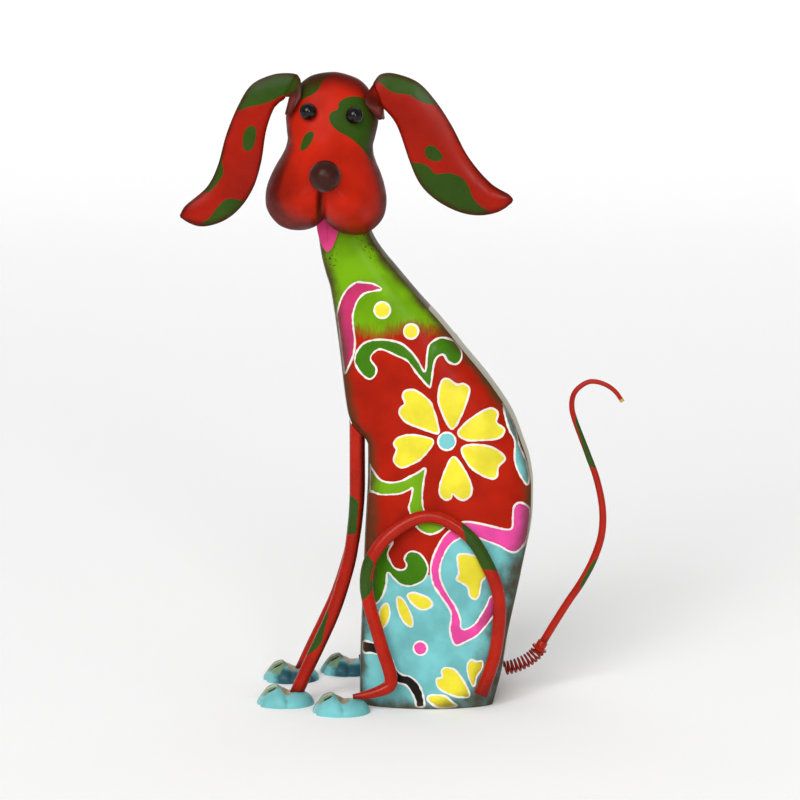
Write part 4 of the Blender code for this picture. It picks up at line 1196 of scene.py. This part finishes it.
class TINDOG_OT_ears(bpy.types.Operator):
    """Bends the two ears from their root tabs to their tips"""
    bl_idname = "tin_dog.ears"
    bl_label = "Ears"

    def execute(self, context):
        shop = colours()
        # Satin enamel on bent sheet: gives the eye long red ears with a light band at the bend
        material = enamel("satin ear enamel", shop.ear_red,
                          [("patch", shop.patch, 0.8), ("tab", shop.mauve, 0.0)],
                          airbrush=4.5, strength=0.85, shade=shop.oxblood, roughness=0.3,
                          specular=0.08)
        for name, outer, inner, tab, patches in (
                ("ear_left", LEFT_EAR_OUTER, LEFT_EAR_INNER, LEFT_TAB, LEFT_EAR_PATCHES),
                ("ear_right", RIGHT_EAR_OUTER, RIGHT_EAR_INNER, RIGHT_TAB, RIGHT_EAR_PATCHES)):
            rear, edge, root = self.strip(outer, inner, tab)
            points, faces = sheet_mesh(rear, EAR_SHEET)
            side, up = head_coordinates(points)
            fields = {"patch": patch_distance(side, up, patches),
                      "edge": both_faces(edge), "tab": both_faces(root)}
            add_mesh(name + "_sheet", points, faces, material, [name], fields)
        return {"FINISHED"}

    def strip(self, outer, inner, tab):
        """Rear face of an ear as a grid of points, with its edge and root tab fields."""
        rows, tab_rows, columns = 130, 18, 33
        run = np.linspace(0, 1, rows)
        down = np.linspace(0, 1, tab_rows)[:, None]
        borders = []
        for line, (bend, foot) in zip((outer, inner), np.array(tab) * HEAD_HEIGHT):
            flap = smooth_line(np.array(line) * HEAD_HEIGHT, rows)
            borders.append(np.concatenate([foot + (bend - foot) * down, flap]))
        top, low = borders
        across = np.linspace(0, 1, columns)[None, :, None]
        late = np.concatenate([np.zeros(tab_rows), run]) - EAR_TIP_FROM
        late = np.clip(late / (1 - EAR_TIP_FROM), 0, 1)
        middle = (top + low) / 2
        narrow = np.sqrt(1 - 0.96 * late ** 2)[:, None]
        top, low = middle + (top - middle) * narrow, middle + (low - middle) * narrow
        spot = top[:, None, :] + (low - top)[:, None, :] * across
        wide = np.linalg.norm(top - low, axis=1)[:, None]
        cup = EAR_CUP * (1 - (2 * across[..., 0] - 1) ** 2) * np.clip(wide / EAR_CUP_WIDTH, 0, 1)
        fold = EAR_FOLD * np.exp(-np.linspace(-1, 8, len(top)) ** 2 / 0.12)[:, None]
        clear = RIM_PLANE - head_rise(spot[..., 0], spot[..., 1], grow=1.1) - EAR_CLEARANCE
        depth = np.minimum(EAR_PLANE, clear) - cup + fold
        gap = wide * np.minimum(across[..., 0], 1 - across[..., 0])
        crease = np.abs(np.arange(len(top)) - tab_rows)[:, None] * 0.6
        end = np.concatenate([np.full(tab_rows, 99.0), (1 - run) * 90])[:, None]
        root = np.where(np.arange(len(top)) < tab_rows, 2.0, -2.0)[:, None] + 0 * gap
        return (head_place(spot[..., 0], spot[..., 1], depth),
                np.minimum(np.minimum(gap, end), crease), root)


# Legs and paws


def tube_patch(outlines):
    """Patch field of a tube, seen from the near side."""
    return lambda p: patch_distance(p[:, 0], p[:, 2], outlines)


def tube_ends_and_rear_shade(line, radius, low, high):
    """Darkening field of a leg: dark at both ends as airbrushed, and painted shade along the side
    turned to the rear.
    """
    order = np.argsort(line[:, 2])

    def measure(p):
        rear = p[:, 0] - np.interp(p[:, 2], line[order, 2], line[order, 0])
        # The last term is painted shade along the tube's rear side
        return np.minimum(np.minimum(p[:, 2] - low, high - p[:, 2]), (radius * 1.1 - rear) * 2.4)
    return measure


class TINDOG_OT_legs(bpy.types.Operator):
    """Sweeps the four bent tubes of the legs"""
    bl_idname = "tin_dog.legs"
    bl_label = "Legs"

    def execute(self, context):
        shop = colours()
        # Gloss enamel over steel tube: gives the eye a red bar with a long soft streak of light
        material = enamel("gloss tube enamel", shop.red, [("patch", shop.patch, 0.8)],
                          airbrush=8.0, strength=0.8, shade=shop.oxblood, roughness=0.27,
                          coat=0.08, specular=0.12)
        for side, sign in (("near", -1), ("far", 1)):
            self.front(side, sign, material)
            self.hind(side, sign, material)
        return {"FINISHED"}

    def front(self, side, sign, material):
        radius = FRONT_TUBE / 2
        top = FRONT_LEG[0][1]
        start = strip_half(top * BODY_HEIGHT) - SHOULDER_BITE * radius
        path = []
        for along, up in FRONT_LEG:
            y = start + (FRONT_STANCE - start) * (1 - up / top) ** 1.15
            path.append((body_x(along), sign * y, up * BODY_HEIGHT))
        line = smooth_line(path, 120)
        start, down = line[-1].copy(), line[-1] - line[-3]
        down /= np.linalg.norm(down)
        head = line[0, 2]

        def seat(points):
            foot = (points - start) @ down > -0.05
            for _ in range(8):
                rest = paw_top(points[:, 0], points[:, 1], FRONT_PAW_AT, sign * FRONT_STANCE)
                slide = np.where(foot, (points[:, 2] - rest - PAW_GAP) / -down[2], 0.0)
                points = points + slide[:, None] * down
            top = points[:, 2] > head - 0.05
            under = shoulder_height(points[:, 0]) - SHOULDER_GAP
            points[:, 2] = np.where(top, under, points[:, 2])
            return points

        patches = FRONT_LEG_PATCHES[:1] if sign > 0 else FRONT_LEG_PATCHES
        # The edge field paints shade along the front legs' rear side
        sweep("front_leg_tube_" + side, [line], radius, TUBE_SIDES, material,
              ["front_leg_" + side], ends=seat,
              fields={"patch": tube_patch(patches), "edge": tube_ends_and_rear_shade(line, radius, 8, 200)})

    def hind(self, side, sign, material):
        radius = HIND_TUBE / 2
        peak = max(range(len(HIND_LEG)), key=lambda i: HIND_LEG[i][1])
        thigh = panel_depth(body_x(HIND_LEG[peak][0]), HIND_LEG[peak][1] * BODY_HEIGHT) + radius
        stance = sign * HIND_STANCE
        path = []
        for i, (along, up) in enumerate(HIND_LEG):
            x, z = body_x(along), up * BODY_HEIGHT
            hug = panel_depth(x, z) + radius + HUG_GAP
            away = 1 - (1 - max(0, i - peak) / (len(HIND_LEG) - 1 - peak)) ** 1.6
            path.append((x, sign * max(hug, (1 - away) * thigh + away * HIND_STANCE), z))
        x = body_x(HIND_FOOT_REACH)
        rest = paw_top(x, stance, HIND_PAW_AT, stance)
        path.append((x, stance, rest + HIND_PINCH / 2 + PAW_GAP))
        line = smooth_line(path, 260)
        swollen, pinched, foot = 14, 24, 40
        girth = np.ones(len(line))
        girth[-pinched:] = 1 - (1 - HIND_PINCH / HIND_TUBE) * np.linspace(0, 1, pinched) ** 1.5
        girth[:swollen] = np.linspace(1.12, 1, swollen)
        ground = paw_top(line[-foot:, 0], line[-foot:, 1], HIND_PAW_AT, stance)
        line[-foot:, 2] = np.maximum(line[-foot:, 2], ground + girth[-foot:] * radius + 0.2)

        def edge(points):
            rear = np.where(points[:, 0] > 20, points[:, 2] * 0.25, 9)
            return np.minimum(rear, points[:, 0] + 52)

        sweep("hind_leg_tube_" + side, [line], radius, TUBE_SIDES, material,
              ["hind_leg_" + side], girths=[girth],
              fields={"patch": tube_patch(HIND_LEG_PATCHES), "edge": edge})


def shoulder_height(x):
    """Height of the underside of the chest's shoulder over x."""
    heights = np.linspace(0.47, 0.556, 120) * BODY_HEIGHT
    fronts = chest_x(heights) - STRIP_CROWN * 0.3
    return np.interp(-x, -fronts, heights)


def toe_gap(bend):
    return bell(bend, TOE_SPLIT, 5)


def heel_crease(bend):
    return bell(bend, HEEL_SPLIT, 8)


def toe_bend(angle):
    """Degrees between a direction and the toes."""
    return np.abs(np.degrees(np.arctan2(np.sin(angle), np.cos(angle))))


def paw_outline(angle):
    """Distance to the paw's edge; angle 0 points along the toes."""
    bend = toe_bend(angle)
    oval = 1 / np.hypot(np.cos(angle) / (PAW_LENGTH / 2), np.sin(angle) / (PAW_WIDTH / 2))
    return oval * (1 - 0.17 * toe_gap(bend) + 0.05 * bell(bend, 38, 13) - 0.05 * heel_crease(bend))


def paw_height(along, across):
    """Height of the paw's top above the ground; along runs from the middle to the toes."""
    angle = np.arctan2(across, along)
    share = np.minimum(np.hypot(along, across) / paw_outline(angle), 1.0)
    bend = np.abs(np.degrees(angle))
    slot = TOE_SLOT * bell(bend, TOE_SPLIT, 4) * np.clip((share - 0.2) / 0.3, 0, 1)
    slot = slot + 0.16 * heel_crease(bend) * np.clip((share - 0.5) / 0.3, 0, 1)
    crown = follow(PAW_PROFILE, along / (PAW_LENGTH / 2)) * PAW_RISE
    side = 1 - 0.24 * (2 * across / PAW_WIDTH) ** 2
    outer = TOE_DROP * np.clip((along - 2) / 6, 0, 1) * np.clip((bend - 13) / 9, 0, 1)
    return PAW_EDGE + crown * side * (1 - share ** 4) ** 0.55 * (1 - slot) * (1 - outer)


def paw_top(x, y, at, stance):
    return paw_height(at - ORIGIN_X - x, y - stance)


class TINDOG_OT_paws(bpy.types.Operator):
    """Presses the four toed paws"""
    bl_idname = "tin_dog.paws"
    bl_label = "Paws"

    def execute(self, context):
        shop = colours()
        # Wiped enamel: gives the eye pale turquoise toes, black painted shade in the slots, worn cream
        # ridges, olive tops, a tan saddle, petrol blue painted shade on the inner sides, and painted
        # shade along the toe gaps and heel crease
        layers = [("inner_side_shade", shop.painted_shade_blue, 0.3), ("olive", shop.olive, 0.3), ("tan", shop.tan, 0.6),
                  ("ridge", shop.cream, 0.5), ("slot", shop.bead, 0.2)]
        material = enamel("wiped turquoise enamel", shop.turquoise, layers, airbrush=2.6,
                          strength=0.9, roughness=0.34, bump=0.12)
        turns = 240
        angle = full_turn(turns)
        bend, reach = toe_bend(angle), paw_outline(angle)
        shares = np.concatenate([[1.0, 1.0], np.sin(np.linspace(np.pi / 2, 0.02, 56))[1:]])
        for side, sign in (("near", -1), ("far", 1)):
            for kind, at, stance in (("front", FRONT_PAW_AT, FRONT_STANCE),
                                     ("hind", HIND_PAW_AT, HIND_STANCE)):
                x, y = at - ORIGIN_X, sign * stance
                rings, paints = [], []
                for number, share in enumerate(shares):
                    along, across = reach * share * np.cos(angle), reach * share * np.sin(angle)
                    height = paw_height(along, across) if number else np.zeros(turns)
                    rings.append(np.stack([x - along, y + across, height], axis=1))
                    paints.append(self.paint(along, across, height, bend, share, sign))
                points = np.concatenate(rings + [[[x, y, float(paw_height(0.0, 0.0))]]])
                fields = {key: np.concatenate([ring[key] for ring in paints] + [paints[-1][key][:1]])
                          for key in paints[0]}
                name = kind + "_paw_" + side
                add_mesh(name + "_shell", points, stack_faces(len(rings), turns, tip=True),
                         material, [name], fields)
        return {"FINISHED"}

    def paint(self, along, across, height, bend, share, sign):
        """Signed fields of the paw's paints and painted shade for one ring of points."""
        opening = np.clip((share - 0.28) / 0.12, 0, 1) * np.clip((0.8 - share) / 0.12, 0, 1)
        turned = np.radians(np.minimum(np.abs(bend - 11), np.abs(bend - 30)))
        arc = np.hypot(along, across) * turned
        inner = np.where(across * sign < 0, 60 - bend, 17 - bend)
        top = np.minimum(inner * 0.2, (height - 0.5 * PAW_RISE) * 0.8)
        # Painted shade: petrol blue over the lower side turned towards the body
        inner_side_shade = np.minimum(-across * sign * 0.5 - 3.4 - 0.2 * (height - 5), (10 - along) * 0.5)
        crease = heel_crease(bend) * np.clip((share - 0.5) / 0.3, 0, 1)
        return {
            # Painted shade: black in the slots between the toes
            "slot": 3.0 * (bell(bend, 21, 7.0) * opening - 0.5),
            "ridge": np.where((share > 0.3) & (along > 0), 0.32 - arc, -2.0),
            "olive": np.where(along > 0, top * 0.3, -3.0),
            "tan": 5 * (bell(along, -1.5, 5.5) * bell(across, 0, 9) - 0.5),
            "inner_side_shade": inner_side_shade * 0.14,
            # Painted shade: darker along the toe gaps and the heel crease
            "edge": 4 - 3.4 * np.maximum(crease * 0.6, toe_gap(bend) * opening),
        }


# Tail


class TINDOG_OT_tail(bpy.types.Operator):
    """Winds the coil spring and bends the tapered tail rod out of its ferrule"""
    bl_idname = "tin_dog.tail"
    bl_label = "Tail"

    def execute(self, context):
        shop = colours()
        # Gloss enamel on rod: gives the eye a slim red curl, green patches and a bare brass end
        rod = enamel("gloss rod enamel", shop.red,
                     [("patch", shop.patch, 0.5), ("tip", shop.brass, 0.3)], airbrush=5.0,
                     strength=0.7, shade=shop.oxblood, roughness=0.3, coat=0.06, specular=0.16)
        # Enamelled wire: gives the eye dark red turns with black gaps between them
        coil = enamel("spring wire enamel", shop.spring, roughness=0.36, specular=0.2)
        x, z = TAIL_ROOT_AT[0] - ORIGIN_X, TAIL_ROOT_AT[1]
        line = smooth_line([(x + along * TAIL_HEIGHT, 0, z + up * TAIL_HEIGHT)
                            for along, up in TAIL_LINE], 200)
        start, end = line[0], line[-1]
        share = np.linspace(0, 1, len(line))
        taper = np.clip((share - TAIL_TAPER_FROM) / (1 - TAIL_TAPER_FROM), 0, 1)
        sweep("tail_bar", [line], TAIL_ROOT / 2, ROD_SIDES, rod, ["tail_rod"],
              girths=[1 - (1 - TAIL_TIP / TAIL_ROOT) * taper],
              fields={"patch": tube_patch(TAIL_PATCHES),
                      "edge": lambda p: p[:, 2] - start[2] + 1.0,
                      "tip": lambda p: 2.6 - np.linalg.norm(p - end, axis=1)})
        ahead = (line[3] - start) / np.linalg.norm(line[3] - start)
        self.ferrule(start, ahead, rod)
        self.spring(start, ahead, coil)
        return {"FINISHED"}

    def ferrule(self, start, ahead, material):
        """Turns the plug that joins the rod to the spring."""
        stub = (SPRING_OUTER - 2 * SPRING_WIRE) / 2 - 0.6
        rim, socket = FLANGE_DIAMETER / 2, SOCKET_DIAMETER / 2
        face = -SOCKET_LENGTH
        base = face - FLANGE_THICKNESS
        tip = base - PLUG_LENGTH
        profile = (
            (tip, 0.01), (tip, stub * 0.8), (tip + 0.6, stub), (base, stub), (base, rim - 0.3),
            (base + 0.3, rim), (face - 0.3, rim), (face, rim - 0.3), (face, socket + 0.4),
            (face + 0.5, socket), (-0.8, socket), (-0.3, socket - 0.3), (0.0, socket - 0.8),
            (0.0, 0.01),
        )
        turns = 40
        side = np.array([0, 1.0, 0])
        around = full_turn(turns)
        ring = np.outer(np.cos(around), side) + np.outer(np.sin(around), np.cross(ahead, side))
        points = np.concatenate([start + ahead * along + radius * ring for along, radius in profile])
        plain = np.ones(len(points))
        add_mesh("tail_plug", points, stack_faces(len(profile), turns), material,
                 ["tail_ferrule"], {"patch": -9 * plain, "edge": 4.5 * plain, "tip": -9 * plain})

    def spring(self, start, ahead, material):
        """Winds the spring along a smooth curve from the body's strip to the plug."""
        seat = start - ahead * (SOCKET_LENGTH + FLANGE_THICKNESS + SPRING_WIRE / 2 + 0.3)
        wall = float(spine_x(SPRING_HEIGHT)) + STRIP_CROWN
        root = np.array([wall + SPRING_WIRE / 2 + 1.2, 0, SPRING_HEIGHT])
        reach = np.linalg.norm(seat - root)
        leave = np.array([1, 0, 0.12]) / math.hypot(1, 0.12)
        a, d = root, seat
        b, c = root + leave * reach * 0.3, seat - ahead * reach * 0.3
        t = np.linspace(0, 1, SPRING_TURNS * 28 + 1)[:, None]
        spot = a * (1 - t) ** 3 + b * 3 * t * (1 - t) ** 2 + c * 3 * t * t * (1 - t) + d * t ** 3
        course = (b - a) * (1 - t) ** 2 + (c - b) * 2 * t * (1 - t) + (d - c) * t * t
        course /= np.linalg.norm(course, axis=1, keepdims=True)
        side = np.array([0, 1.0, 0])
        up = np.cross(course, side)
        turn = 2 * np.pi * SPRING_TURNS * t
        coil = (SPRING_OUTER - SPRING_WIRE) / 2
        line = spot + side * coil * np.cos(turn) + up * coil * np.sin(turn)
        sweep("spring_coil", [line], SPRING_WIRE / 2, WIRE_SIDES, material,
              ["tail_spring"])


# Stage


class TINDOG_OT_stage(bpy.types.Operator):
    """Lays the pale floor, hangs the soft lights and sets the camera"""
    bl_idname = "tin_dog.stage"
    bl_label = "Stage"

    def execute(self, context):
        # Matt paper: gives the eye an even white ground with a faint contact shadow
        material, tree = new_material("matt white paper")
        shader = tree.nodes["Principled BSDF"]
        shader.inputs["Base Color"].default_value = rgba(colours().paper)
        shader.inputs["Roughness"].default_value = 0.9
        front, bend, radius, top, half = -8.0, 2.5, 1.5, 8.0, 6.0
        course = [(front, 0.0), (bend, 0.0)]
        course += [(bend + radius * math.sin(a), radius - radius * math.cos(a))
                   for a in np.linspace(0.1, math.pi / 2, 12)]
        course.append((bend + radius, top))
        mesh = bpy.data.meshes.new("paper sweep")
        mesh.from_pydata([(x, y, z) for y, z in course for x in (-half, 0.0, half)], [],
                         grid_faces(len(course), 3, wrap=False))
        mesh.shade_smooth()
        mesh.materials.append(material)
        floor = new_object("paper_sweep", mesh)
        self.lights(context)
        self.camera(context)
        return {"FINISHED"}

    def lights(self, context):
        world = bpy.data.worlds.new("soft room")
        world.use_nodes = True
        room = world.node_tree.nodes["Background"].inputs
        room["Color"].default_value = rgba(colours().paper)
        room["Strength"].default_value = ROOM_STRENGTH
        context.scene.world = world
        context.scene.view_settings.view_transform = "Standard"
        sun = bpy.data.lights.new("overcast window", "SUN")
        sun.energy = SUN_POWER
        sun.angle = SUN_SPREAD
        self.hang(sun, SUN_FROM)
        for name, place, size, power in AREA_LIGHTS:
            light = bpy.data.lights.new(name, "AREA")
            light.size = size
            light.energy = power
            self.hang(light, place)

    def hang(self, light, place):
        lamp = new_object(light.name, light)
        lamp.location = place
        aim = Vector(LIGHT_AIM) - Vector(place)
        lamp.rotation_euler = aim.to_track_quat("-Z", "Y").to_euler()

    def camera(self, context):
        lens = bpy.data.cameras.new("photo camera")
        lens.lens = CAMERA_LENS
        lens.sensor_width = 36.0
        camera = new_object("photo_camera", lens)
        target = Vector(CAMERA_TARGET) * MM
        back = Vector((math.sin(CAMERA_TURN) * math.cos(CAMERA_RISE),
                       -math.cos(CAMERA_TURN) * math.cos(CAMERA_RISE), math.sin(CAMERA_RISE)))
        camera.location = target + back * CAMERA_DISTANCE * MM
        camera.rotation_euler = (-back).to_track_quat("-Z", "Y").to_euler()
        context.scene.camera = camera


STEPS = (TINDOG_OT_body, TINDOG_OT_figures, TINDOG_OT_lines, TINDOG_OT_head, TINDOG_OT_features,
         TINDOG_OT_ears, TINDOG_OT_legs, TINDOG_OT_paws, TINDOG_OT_tail, TINDOG_OT_stage)


class TINDOG_PT_panel(bpy.types.Panel):
    """Lists the sizes, the colours and the steps of the build"""
    bl_idname = "TINDOG_PT_panel"
    bl_label = "Tin Dog"
    bl_space_type = "VIEW_3D"
    bl_region_type = "UI"
    bl_category = "Tin Dog"

    def draw(self, context):
        for group in (sizes(), colours()):
            for key in group.__annotations__:
                self.layout.prop(group, key)
        for step in STEPS:
            self.layout.operator(step.bl_idname)


CLASSES = (TinDogSizes, TinDogColours, *STEPS, TINDOG_PT_panel)


def register():
    for each in CLASSES:
        bpy.utils.register_class(each)
    bpy.types.Scene.tin_dog_sizes = PointerProperty(type=TinDogSizes)
    bpy.types.Scene.tin_dog_colours = PointerProperty(type=TinDogColours)


def unregister():
    del bpy.types.Scene.tin_dog_colours
    del bpy.types.Scene.tin_dog_sizes
    for each in reversed(CLASSES):
        bpy.utils.unregister_class(each)


def main():
    register()
    for step in STEPS:
        group, name = step.bl_idname.split(".")
        getattr(getattr(bpy.ops, group), name)()


if __name__ == "__main__":
    main()
